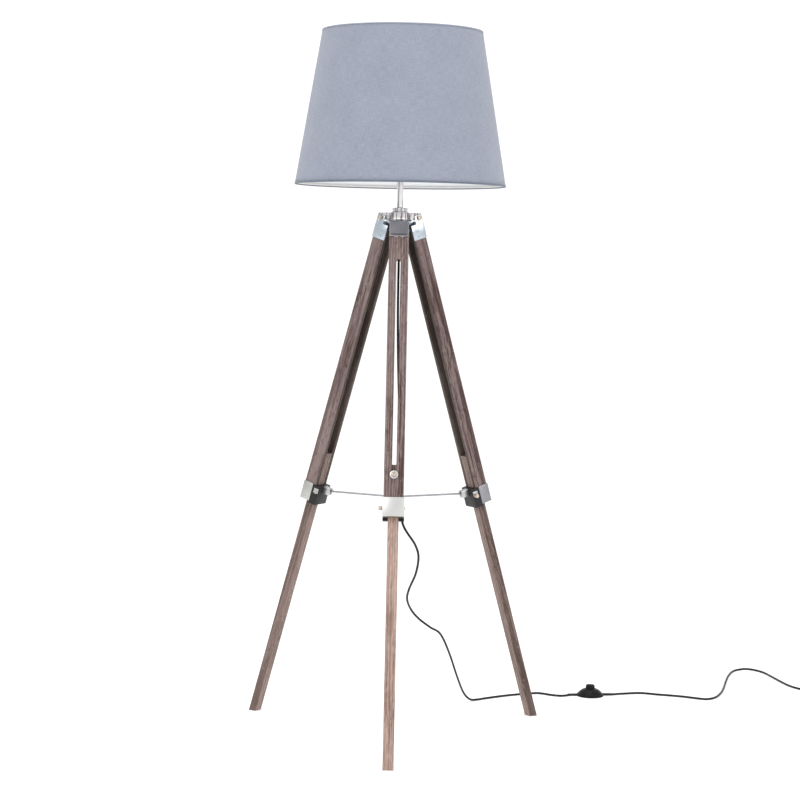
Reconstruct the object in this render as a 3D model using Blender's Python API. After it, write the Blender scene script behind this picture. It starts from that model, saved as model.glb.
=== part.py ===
"""Tripod floor lamp: three telescoping wooden legs, a steel head, a drum shade, a cord with a footswitch.

Metres, +Z up. The feet stand on Z = 0. The front leg points to -Y, and the other two are 120 degrees round.
Each leg is built in its own frame: the origin lies on its hinge, X runs along the hinge, Y points to the
lamp's axis and the leg hangs down -Z. "depth" below is how far a face lies outside the hinge line.
"""

import math

import bmesh
import bpy
from mathutils import Matrix, Vector

GAP = 0.0003
ROUND = 32

HEIGHT = 1.500
LEGS = {"front": 0.0, "right": 120.0, "left": -120.0}

# Legs
LEAN_DEG = 16.97
HINGE_RADIUS = 0.0362
HINGE_Z = 1.1070
LEG_WIDTH = 0.0412
LEG_DEPTH = 0.0290
LEG_OUTSIDE = 0.0050
LEG_WEB = 0.0102
LEG_WALL = 0.0092
LEG_TOP = 0.0454
LEG_END = 0.6424
LEG_LAP = 0.1090
SLOT_BOLT_RISE = 0.0860
PRONG_TOP = 0.0200
SLOT_WIDTH = 0.0090
SLOT_TOP = 0.0944
SLOT_STEPS = 12
LOWER_DEPTH = 0.0183
EDGE_ROUND = 0.0008

# Head
HEAD_THICK = 0.0060
HEAD_RISE = 0.0035
KNUCKLE_THICK = 0.0110
KNUCKLE_DROP = 0.0052
KNUCKLE_PROUD = 0.0003
KNUCKLE_SLIT = 0.0016
KNUCKLE_SLIT_AT = 0.0024
KNUCKLE_SLIT_DEEP = 0.0030
HINGE_BOLT_RADIUS = 0.0030
BOLT_PLAY = 0.0003
BOLT_HEAD_RADIUS = 0.0052
BOLT_HEAD_THICK = 0.0030
HINGE_NUT_RADIUS = 0.0058
HINGE_NUT_THICK = 0.0038
BOSS_RADIUS = 0.0190
BOSS_DEEP = 0.0115
NUT_RADIUS = 0.0165
NUT_THICK = 0.0100
POLE_RADIUS = 0.0065
POLE_WALL = 0.0010
GLAND_RADIUS = 0.0060
GLAND_DEEP = 0.0085

# Brackets and collars
SHEET = 0.0016
BRACKET_WEB_TOP = 0.0104
EAR_TOP = 0.0060
EAR_REACH = 0.0110
EAR_STEP = 0.0123
COLLAR_SHEET = 0.0014
COLLAR_LAP = 0.0390
COLLAR_HEIGHT = 0.0400
COLLAR_CHEEK = 0.0240
BLOCK_LAP = 0.0375
BLOCK_HEIGHT = 0.0425
BLOCK_BACK = 0.0105
SCREW_RISE = 0.0220
SCREW_RADIUS = 0.0025
SCREW_TIP = 0.0025
KNOB_RADIUS = 0.0046
KNOB_LONG = 0.0085
SLOT_BOLT_DEEP = 0.0120
SLOT_BOLT_RADIUS = 0.0030
SLOT_HEAD_RADIUS = 0.0048
SLOT_HEAD_THICK = 0.0055
WASHER_RADIUS = 0.0085
WASHER_THICK = 0.0016

# Spreader
HUB_RADIUS = 0.0140
HUB_THICK = 0.0110
ROD_RADIUS = 0.0019
ROD_PIVOT = 0.0180
ROD_CLEAR = 0.0060
LUG_WIDTH = 0.0130
LUG_SLOT = 0.0052
LUG_HEIGHT = 0.0160
LUG_LONG = 0.0180
LUG_WEB = 0.0050
LUG_RISE = 0.0302

# Shade, lampholder and bulb
SHADE_TOP_RADIUS = 0.1701
SHADE_BOTTOM_RADIUS = 0.2246
SHADE_HEIGHT = 0.3258
FABRIC_THICK = 0.0012
LINER_THICK = 0.0010
SHADE_SEGMENTS = 72
WIRE_SIDES = 6
WIRE_RADIUS = 0.0018
WIRE_CLEAR = 0.0001
SPIDER_DROP = 0.1350
SPIDER_RING_IN = 0.0200
SPIDER_RING_OUT = 0.0290
SPIDER_THICK = 0.0020
SPIDER_FOOT = 0.0080
SPIDER_HEEL = 0.0040
SPIDER_TOE = 0.0060
SPIDER_LAP = 0.0020
SPIDER_PROUD = 0.0005
SPIDER_ARM_WIDTH = 0.0050
HOLDER_RADIUS = 0.0190
HOLDER_WALL = 0.0020
HOLDER_HEIGHT = 0.0560
HOLDER_FLANGE = 0.0260
HOLDER_TAPER = 0.0080
HOLDER_FLOOR = 0.0100
HOLDER_LIP = 0.0080
HOLDER_SHOULDER = 0.0040
HOLDER_UNDER = 0.0500
SHADE_RING_HIGH = 0.0040
BULB_RADIUS = 0.0250
BULB_NECK = 0.0125
BULB_LONG = 0.0750
BULB_NECK_DEG = -48.0
BULB_STEPS = 12
BULB_CAP_RADIUS = 0.0130
BULB_CAP_LONG = 0.0270
BULB_CAP_TAPER = 0.0040

# Cord: routes are measured from the lamp's axis on the floor
CORD_RADIUS = 0.0025
SPLIT_STUB = 0.0020
CORD_STEPS = 8
HEAD_POINTS = 8
LEG_POINTS = 13
HANG_POINTS = 30
TAIL_POINTS = 25
SWITCH_AT = (0.4605, 0.4040)
SWITCH_RADIUS = 0.0315
SWITCH_HEIGHT = 0.0175
SWITCH_RIM = 0.0050
SWITCH_HOLE = 0.0112
SWITCH_FLOOR = 0.0045
SWITCH_STEPS = 6
BUTTON_RADIUS = 0.0107
BUTTON_TOP = 0.0275
BUTTON_LOW = 0.0095
BUTTON_SHOULDER = 0.0030
BUTTON_ROUND = 0.0012
BUTTON_FLAT = 0.0040
SWITCH_TURN_DEG = 8.0
PORT_HEIGHT = 0.0032
PORT_LEAD = 0.0150
COIL_AT = (1.0650, 0.4450)
COIL_ENTRY_DEG = 120.0
COIL_MID_RADIUS = 0.0290
COIL_WIDE = 0.0120
COIL_HIGH = 0.0110
PLUG_LONG = 0.0340
PLUG_WIDE = 0.0260
PLUG_NECK = 0.0145
PLUG_TAPER = 0.0115
PLUG_HIGH = 0.0150
PIN_RADIUS = 0.0020
PIN_LONG = 0.0190
PIN_APART = 0.0190

HEAD_ROUTE = ((0, 0, 1.0900), (0, -0.0040, 1.0830), (0, -0.0150, 1.0790), (0, -0.0280, 1.0790),
              (0, -0.0355, 1.0762), (0, -0.0376, 1.0705))
LEG_ROUTE = ((0, -0.0140, 0.0524), (0, -0.0230, 0.0704), (0, -0.0285, 0.0934), (0, -0.0288, 0.1484),
             (0.0010, -0.0288, 0.2284), (0.0040, -0.0290, 0.3284), (0.0090, -0.0300, 0.4384),
             (0.0135, -0.0335, 0.5384), (0.0158, -0.0388, 0.5984), (0.0162, -0.0392, 0.6334),
             (0.0205, -0.0405, 0.6534), (0.0290, -0.0425, 0.6684))
HANG_ROUTE = ((0.0455, -0.1700, 0.4280), (0.0530, -0.1500, 0.4000), (0.0480, -0.1150, 0.3600),
              (0.0340, -0.0750, 0.3200), (0.0300, -0.0400, 0.2920), (0.0390, 0.0050, 0.2620),
              (0.0565, 0.0400, 0.2365), (0.0805, 0.0720, 0.2135), (0.1035, 0.1080, 0.1925),
              (0.1240, 0.1600, 0.1420), (0.1430, 0.2250, 0.0780), (0.1600, 0.2850, 0.0270),
              (0.1760, 0.3100, 0.0060), (0.1930, 0.3240, 0.0028), (0.2110, 0.3390, 0.0027),
              (0.2650, 0.3780, 0.0027), (0.3270, 0.4090, 0.0027), (0.3480, 0.4070, 0.0027),
              (0.3680, 0.3930, 0.0027), (0.3920, 0.3850, 0.0027))
TAIL_ROUTE = ((0.5400, 0.4240, 0.0027), (0.5820, 0.4350, 0.0027), (0.6200, 0.4220, 0.0027),
              (0.6510, 0.4130, 0.0027), (0.6810, 0.4020, 0.0027), (0.7100, 0.3860, 0.0027),
              (0.7300, 0.3790, 0.0027), (0.7490, 0.3930, 0.0027), (0.7660, 0.4280, 0.0027),
              (0.7840, 0.4900, 0.0027), (0.8070, 0.6000, 0.0027), (0.8240, 0.6740, 0.0027),
              (0.8460, 0.7340, 0.0027), (0.8810, 0.7600, 0.0027), (0.9130, 0.7260, 0.0027),
              (0.9300, 0.6600, 0.0027), (0.9430, 0.5980, 0.0027), (0.9570, 0.5490, 0.0027),
              (0.9780, 0.5160, 0.0027), (1.0100, 0.4960, 0.0027))

COLOURS = {
    "upper_wood": ((0.190, 0.150, 0.135), 0.75, 0.0),
    "lower_wood": ((0.430, 0.330, 0.270), 0.70, 0.0),
    "chrome": ((0.500, 0.560, 0.600), 0.22, 1.0),
    "steel": ((0.420, 0.420, 0.430), 0.35, 1.0),
    "satin": ((0.700, 0.710, 0.700), 0.38, 1.0),
    "brass": ((0.560, 0.440, 0.270), 0.30, 1.0),
    "black": ((0.012, 0.012, 0.013), 0.40, 0.0),
    "cord": ((0.015, 0.015, 0.015), 0.50, 0.0),
    "fabric": ((0.340, 0.375, 0.455), 0.90, 0.0),
    "liner": ((0.760, 0.740, 0.700), 0.80, 0.0),
    "glass": ((0.880, 0.870, 0.840), 0.20, 0.0),
    "holder": ((0.780, 0.770, 0.750), 0.45, 0.0),
}

SLOT_BOLT_DOWN = LEG_END - SLOT_BOLT_RISE
LOWER_TOP = LEG_END - LEG_LAP
COLLAR_TOP = LEG_END - COLLAR_LAP
BLOCK_TOP = LEG_END - BLOCK_LAP
SCREW_DOWN = LEG_END - SCREW_RISE
LUG_DOWN = LEG_END - LUG_RISE
SLOT_END = SLOT_BOLT_DOWN + SLOT_BOLT_RADIUS + GAP
HALF_WIDTH = LEG_WIDTH / 2
LEG_INSIDE = LEG_OUTSIDE - LEG_DEPTH
CHANNEL_HALF = HALF_WIDTH - LEG_WALL
WEB_INSIDE = LEG_OUTSIDE - LEG_WEB
LOWER_OUTSIDE = WEB_INSIDE - GAP
LOWER_INSIDE = LOWER_OUTSIDE - LOWER_DEPTH
ROD_START = ROD_PIVOT - math.sqrt((ROD_PIVOT - HUB_RADIUS - GAP) ** 2 - ROD_RADIUS ** 2)
BRACKET_OUTSIDE = LEG_OUTSIDE + GAP + SHEET
COLLAR_HALF = HALF_WIDTH + GAP + COLLAR_SHEET
COLLAR_OUTSIDE = LEG_OUTSIDE + GAP + COLLAR_SHEET
BLOCK_INSIDE = LEG_INSIDE - GAP - BLOCK_BACK
SCREW_DEPTH = LEG_INSIDE - GAP - BLOCK_BACK / 2
HEAD_BOTTOM = HINGE_Z + HEAD_RISE
HEAD_TOP = HEAD_BOTTOM + HEAD_THICK
SPIDER_Z = HEIGHT - SPIDER_DROP
POLE_TOP = SPIDER_Z - HOLDER_UNDER
KNUCKLE_HALF = HALF_WIDTH - SHEET - GAP
SHADE_BOTTOM = HEIGHT - SHADE_HEIGHT
LEAN = math.radians(LEAN_DEG)

# A rod lies level in the slot of its lug, and stops a clearance short of the slot's bottom.
ROD_DEPTH = BLOCK_INSIDE - GAP - LUG_WEB - ROD_CLEAR
ROD_END = HINGE_RADIUS + ROD_DEPTH * math.cos(LEAN) + LUG_DOWN * math.sin(LEAN)
HUB_Z = HINGE_Z + ROD_DEPTH * math.sin(LEAN) - LUG_DOWN * math.cos(LEAN)

# The lamp's axis stands behind the middle, so that the origin is under the middle of the bounding box.
FOOT_REACH = HINGE_RADIUS + HINGE_Z * math.tan(LEAN) + LOWER_OUTSIDE / math.cos(LEAN)
AXIS_Y = (FOOT_REACH - SHADE_BOTTOM_RADIUS) / 2


def material_for(name, key):
    """Give a piece its own Principled material from the colour table."""
    colour, roughness, metallic = COLOURS[key]
    mat = bpy.data.materials.new(name)
    mat.use_nodes = True
    shader = mat.node_tree.nodes["Principled BSDF"]
    shader.inputs["Base Color"].default_value = (*colour, 1.0)
    shader.inputs["Roughness"].default_value = roughness
    shader.inputs["Metallic"].default_value = metallic
    mat.diffuse_color = (*colour, 1.0)
    return mat


def place(obj, name, key, parent, smooth):
    """Link a piece into the scene under its parent, with its material and shading."""
    obj.name = name
    bpy.context.collection.objects.link(obj)
    obj.parent = parent
    obj.data.materials.append(material_for(name, key))
    if smooth:
        for face in obj.data.polygons:
            face.use_smooth = True
    return obj


def piece(name, key, build, parent=None, smooth=False):
    """Make one closed piece from a function that fills a bmesh."""
    mesh = bpy.data.meshes.new(name)
    shape = bmesh.new()
    build(shape)
    bmesh.ops.remove_doubles(shape, verts=shape.verts, dist=1e-7)
    bmesh.ops.recalc_face_normals(shape, faces=shape.faces)
    shape.to_mesh(mesh)
    shape.free()
    return place(bpy.data.objects.new(name, mesh), name, key, parent, smooth)


def cut(target, name, build, parent=None):
    """Take a hidden cutter away from a piece."""
    cutter = piece(name, "steel", build, parent)
    cutter.hide_render = True
    cutter.display_type = "WIRE"
    modifier = target.modifiers.new(name, "BOOLEAN")
    modifier.operation = "DIFFERENCE"
    modifier.object = cutter


def add_box(shape, low, high):
    """Add a box between two corners."""
    size = Vector(high) - Vector(low)
    centre = (Vector(high) + Vector(low)) / 2
    matrix = Matrix.Translation(centre) @ Matrix.Diagonal((*size, 1.0))
    bmesh.ops.create_cube(shape, size=1.0, matrix=matrix)


def add_prism(shape, outline, start, end, turn):
    """Extrude a closed outline from start to end along Z, then turn it into place."""
    verts = [shape.verts.new((x, y, start)) for x, y in outline]
    face = shape.faces.new(verts)
    grown = bmesh.ops.extrude_face_region(shape, geom=[face])["geom"]
    top = [item for item in grown if isinstance(item, bmesh.types.BMVert)]
    bmesh.ops.translate(shape, verts=top, vec=(0, 0, end - start))
    bmesh.ops.transform(shape, verts=verts + top, matrix=turn)


def add_turned(shape, outline, turn=Matrix.Identity(4), segments=ROUND):
    """Spin a closed outline of (radius, height) points about Z, then turn it into place."""
    count = len(outline)
    rings = []
    for step in range(segments):
        angle = 2 * math.pi * step / segments
        ring = []
        for radius, height in outline:
            if radius == 0 and step:
                ring.append(rings[0][len(ring)])
            else:
                ring.append(shape.verts.new((radius * math.cos(angle), radius * math.sin(angle), height)))
        rings.append(ring)
    for step in range(segments):
        here, there = rings[step], rings[(step + 1) % segments]
        for i in range(count):
            j = (i + 1) % count
            corners = []
            for vert in (here[i], there[i], there[j], here[j]):
                if vert not in corners:
                    corners.append(vert)
            if len(corners) > 2:
                shape.faces.new(corners)
    verts = {vert for ring in rings for vert in ring}
    bmesh.ops.transform(shape, verts=list(verts), matrix=turn)


def along_x(x, depth, down):
    """Return the matrix that lays a turned piece along the hinge's X in a leg's frame."""
    return Matrix.Translation((x, -depth, -down)) @ Matrix.Rotation(math.pi / 2, 4, "Y")


def outwards(depth, down):
    """Return the matrix that points a turned piece's Z out of a leg's outer face."""
    return Matrix.Translation((0, -depth, -down)) @ Matrix.Rotation(math.pi / 2, 4, "X")


def u_outline(half, outer, inner, wall, web):
    """Return a U section open towards the lamp's axis, as (x, y) points in a leg's frame."""
    return ((-half, -outer), (half, -outer), (half, -inner), (half - wall, -inner),
            (half - wall, -outer + web), (-half + wall, -outer + web), (-half + wall, -inner),
            (-half, -inner))


def bevel_edges(obj, width):
    """Ease a piece's sharp edges with a Bevel modifier."""
    modifier = obj.modifiers.new("eased_edges", "BEVEL")
    modifier.width = width
    modifier.segments = 1
    modifier.limit_method = "ANGLE"
    modifier.angle_limit = math.radians(50)


def make_upper_leg(side, frame):
    """The channelled upper leg: a slotted web, two walls and two prongs inside the bracket."""
    def rail(shape):
        outline = u_outline(HALF_WIDTH, LEG_OUTSIDE, LEG_INSIDE, LEG_WALL, LEG_WEB)
        add_prism(shape, outline, -LEG_END, -PRONG_TOP, Matrix.Identity(4))

    def rebate(shape):
        for sign in (-1, 1):
            edge = HALF_WIDTH - SHEET - GAP
            xs = sorted((sign * edge, sign * (HALF_WIDTH + SHEET)))
            add_box(shape, (xs[0], -LEG_OUTSIDE - SHEET, -LEG_TOP), (xs[1], -LEG_INSIDE + SHEET, 0))
        low = (-CHANNEL_HALF, -LEG_OUTSIDE - SHEET, -LEG_TOP)
        add_box(shape, low, (CHANNEL_HALF, -WEB_INSIDE + SHEET, 0))

    def slot(shape):
        radius = SLOT_WIDTH / 2
        outline = []
        for step in range(SLOT_STEPS + 1):
            angle = math.pi * step / SLOT_STEPS
            outline.append((radius * math.cos(angle), -SLOT_TOP - radius + radius * math.sin(angle)))
        for step in range(SLOT_STEPS + 1):
            angle = math.pi + math.pi * step / SLOT_STEPS
            outline.append((radius * math.cos(angle), -SLOT_END + radius + radius * math.sin(angle)))
        turn = Matrix.Rotation(math.pi / 2, 4, "X")
        add_prism(shape, outline, WEB_INSIDE - SHEET, LEG_OUTSIDE + SHEET, turn)

    leg = piece(f"upper_leg_{side}", "upper_wood", rail, frame)
    cut(leg, f"cut_rebate_{side}", rebate, frame)
    cut(leg, f"cut_slot_{side}", slot, frame)


def make_lower_leg(side, frame):
    """The sliding lower leg, cut flat with the floor at its foot, with a blind hole for the slot bolt."""
    half = CHANNEL_HALF - GAP

    def foot_down(depth):
        return (HINGE_Z + depth * math.sin(LEAN)) / math.cos(LEAN)

    def bar(shape):
        outer, inner = LOWER_OUTSIDE, LOWER_INSIDE
        outline = ((-outer, -LOWER_TOP), (-inner, -LOWER_TOP), (-inner, -foot_down(inner)),
                   (-outer, -foot_down(outer)))
        turn = Matrix(((0, 0, 1, 0), (1, 0, 0, 0), (0, 1, 0, 0), (0, 0, 0, 1)))
        add_prism(shape, outline, -half, half, turn)

    def bolt_hole(shape):
        radius = SLOT_BOLT_RADIUS + BOLT_PLAY
        bottom = LOWER_OUTSIDE - SLOT_BOLT_DEEP - GAP
        outline = ((0, bottom), (radius, bottom), (radius, LEG_OUTSIDE), (0, LEG_OUTSIDE))
        add_turned(shape, outline, outwards(0, SLOT_BOLT_DOWN), 16)

    leg = piece(f"lower_leg_{side}", "lower_wood", bar, frame)
    cut(leg, f"cut_bolt_hole_{side}", bolt_hole, frame)


def make_top_bracket(side, frame):
    """The folded steel shoe over the leg's top, with an ear each side of the hinge."""
    def shoe(shape):
        outline = u_outline(HALF_WIDTH, BRACKET_OUTSIDE, LEG_INSIDE, SHEET, SHEET)
        add_prism(shape, outline, -LEG_TOP + GAP, EAR_TOP, Matrix.Identity(4))

    def relief(shape):
        add_box(shape, (-LEG_WIDTH, EAR_REACH, -EAR_STEP), (LEG_WIDTH, LEG_DEPTH, EAR_TOP + SHEET))
        low = (-HALF_WIDTH + SHEET, -BRACKET_OUTSIDE - SHEET, -BRACKET_WEB_TOP)
        add_box(shape, low, (HALF_WIDTH - SHEET, 0, EAR_TOP + SHEET))

    def pin_hole(shape):
        radius = HINGE_BOLT_RADIUS + BOLT_PLAY
        outline = ((0, -LEG_WIDTH), (radius, -LEG_WIDTH), (radius, LEG_WIDTH), (0, LEG_WIDTH))
        add_turned(shape, outline, along_x(0, 0, 0), 24)

    bracket = piece(f"top_bracket_{side}", "chrome", shoe, frame)
    cut(bracket, f"cut_relief_{side}", relief, frame)
    cut(bracket, f"cut_pin_hole_{side}", pin_hole, frame)


def make_hinge_bolt(side, frame):
    """The hinge bolt with its head, and the round nut on its other end."""
    bearing = HALF_WIDTH + GAP
    tip = bearing + HINGE_NUT_THICK + GAP

    def bolt(shape):
        head = -bearing - BOLT_HEAD_THICK
        outline = ((0, head), (BOLT_HEAD_RADIUS, head), (BOLT_HEAD_RADIUS, -bearing),
                   (HINGE_BOLT_RADIUS, -bearing), (HINGE_BOLT_RADIUS, tip), (0, tip))
        add_turned(shape, outline, along_x(0, 0, 0), 24)

    def nut(shape):
        hole = HINGE_BOLT_RADIUS + BOLT_PLAY
        end = bearing + HINGE_NUT_THICK
        ease = EDGE_ROUND
        outline = ((hole, bearing), (HINGE_NUT_RADIUS - ease, bearing),
                   (HINGE_NUT_RADIUS, bearing + ease), (HINGE_NUT_RADIUS, end - ease),
                   (HINGE_NUT_RADIUS - ease, end), (hole, end))
        add_turned(shape, outline, along_x(0, 0, 0), 24)

    piece(f"hinge_bolt_{side}", "steel", bolt, frame, smooth=True)
    piece(f"hinge_nut_{side}", "brass", nut, frame, smooth=True)


def make_collar(side, frame):
    """The bright clamp collar round the outer side of the leg's end."""
    def strap(shape):
        outline = u_outline(COLLAR_HALF, COLLAR_OUTSIDE, COLLAR_OUTSIDE - COLLAR_CHEEK,
                            COLLAR_SHEET, COLLAR_SHEET)
        add_prism(shape, outline, -COLLAR_TOP - COLLAR_HEIGHT, -COLLAR_TOP, Matrix.Identity(4))

    piece(f"collar_{side}", "satin", strap, frame)


def make_clamp_block(side, frame):
    """The black block that closes the collar on the inner side, bored across for the clamp screw."""
    def block(shape):
        outer = COLLAR_OUTSIDE - COLLAR_CHEEK - GAP
        web = BLOCK_BACK
        inner = ((-COLLAR_HALF, -outer), (-COLLAR_HALF, -BLOCK_INSIDE), (COLLAR_HALF, -BLOCK_INSIDE),
                 (COLLAR_HALF, -outer), (COLLAR_HALF - COLLAR_SHEET, -outer),
                 (COLLAR_HALF - COLLAR_SHEET, -BLOCK_INSIDE - web),
                 (-COLLAR_HALF + COLLAR_SHEET, -BLOCK_INSIDE - web), (-COLLAR_HALF + COLLAR_SHEET, -outer))
        add_prism(shape, inner, -BLOCK_TOP - BLOCK_HEIGHT, -BLOCK_TOP, Matrix.Identity(4))

    def bore(shape):
        radius = SCREW_RADIUS + BOLT_PLAY
        outline = ((0, -LEG_WIDTH), (radius, -LEG_WIDTH), (radius, LEG_WIDTH), (0, LEG_WIDTH))
        add_turned(shape, outline, along_x(0, SCREW_DEPTH, SCREW_DOWN), 20)

    target = piece(f"clamp_block_{side}", "black", block, frame)
    cut(target, f"cut_screw_bore_{side}", bore, frame)


def make_collar_screw(side, frame):
    """The clamp's thumbscrew: a knurled brass knob and a screw right through the block."""
    def screw(shape):
        start = -COLLAR_HALF - GAP
        knob = start - KNOB_LONG
        tip = COLLAR_HALF + SCREW_TIP
        outline = ((0, knob), (KNOB_RADIUS, knob), (KNOB_RADIUS, start), (SCREW_RADIUS, start),
                   (SCREW_RADIUS, tip), (0, tip))
        add_turned(shape, outline, along_x(0, SCREW_DEPTH, SCREW_DOWN), 20)

    piece(f"collar_screw_{side}", "brass", screw, frame, smooth=True)


def make_slot_bolt(side, frame):
    """The bolt that guides the lower leg in the slot, with its washer on the outer face."""
    seat = LEG_OUTSIDE + GAP
    under_head = seat + WASHER_THICK + GAP

    def washer(shape):
        hole = SLOT_BOLT_RADIUS + BOLT_PLAY
        outline = ((hole, seat), (WASHER_RADIUS, seat), (WASHER_RADIUS, seat + WASHER_THICK),
                   (hole, seat + WASHER_THICK))
        add_turned(shape, outline, outwards(0, SLOT_BOLT_DOWN), 28)

    def bolt(shape):
        top = under_head + SLOT_HEAD_THICK
        bottom = LOWER_OUTSIDE - SLOT_BOLT_DEEP
        outline = ((0, bottom), (SLOT_BOLT_RADIUS, bottom), (SLOT_BOLT_RADIUS, under_head),
                   (SLOT_HEAD_RADIUS, under_head), (SLOT_HEAD_RADIUS, top), (0, top))
        add_turned(shape, outline, outwards(0, SLOT_BOLT_DOWN), 20)

    piece(f"slot_washer_{side}", "satin", washer, frame, smooth=True)
    piece(f"slot_bolt_{side}", "steel", bolt, frame, smooth=True)


def make_rod_lug(side, frame):
    """The forked lug on the clamp block that takes the outer end of a spreader rod."""
    outer = BLOCK_INSIDE - GAP

    def fork(shape):
        half, slot = LUG_WIDTH / 2, LUG_SLOT / 2
        outline = ((-half, -outer), (half, -outer), (half, -outer + LUG_LONG), (slot, -outer + LUG_LONG),
                   (slot, -outer + LUG_WEB), (-slot, -outer + LUG_WEB), (-slot, -outer + LUG_LONG),
                   (-half, -outer + LUG_LONG))
        add_prism(shape, outline, -LUG_DOWN - LUG_HEIGHT / 2, -LUG_DOWN + LUG_HEIGHT / 2, Matrix.Identity(4))

    piece(f"rod_lug_{side}", "satin", fork, frame)


def make_rod(side, spin):
    """One spreader rod, with its origin on its pivot at the hub."""
    pivot = bpy.data.objects.new(f"rod_pivot_{side}", None)
    bpy.context.collection.objects.link(pivot)
    pivot.matrix_world = axis_matrix() @ spin @ Matrix.Translation((0, -ROD_PIVOT, HUB_Z))

    def rod(shape):
        turn = Matrix.Rotation(math.pi / 2, 4, "X")
        inner, outer = ROD_START - ROD_PIVOT, ROD_END - ROD_PIVOT
        outline = ((0, inner), (ROD_RADIUS, inner), (ROD_RADIUS, outer), (0, outer))
        add_turned(shape, outline, turn, 16)

    piece(f"spreader_rod_{side}", "steel", rod, pivot, smooth=True)


def axis_matrix():
    """Return the matrix that stands a piece on the lamp's axis."""
    return Matrix.Translation((0, AXIS_Y, 0))


def make_leg(side, turn_deg):
    """One leg with all that rides on it, and the hinge and rod that hold it."""
    spin = Matrix.Rotation(math.radians(turn_deg), 4, "Z")
    lean = Matrix.Rotation(-LEAN, 4, "X")
    frame = bpy.data.objects.new(f"leg_frame_{side}", None)
    bpy.context.collection.objects.link(frame)
    frame.matrix_world = axis_matrix() @ spin @ Matrix.Translation((0, -HINGE_RADIUS, HINGE_Z)) @ lean
    make_upper_leg(side, frame)
    make_lower_leg(side, frame)
    make_top_bracket(side, frame)
    make_hinge_bolt(side, frame)
    make_collar(side, frame)
    make_clamp_block(side, frame)
    make_collar_screw(side, frame)
    make_slot_bolt(side, frame)
    make_rod_lug(side, frame)
    make_rod(side, spin)
    return frame


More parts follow.
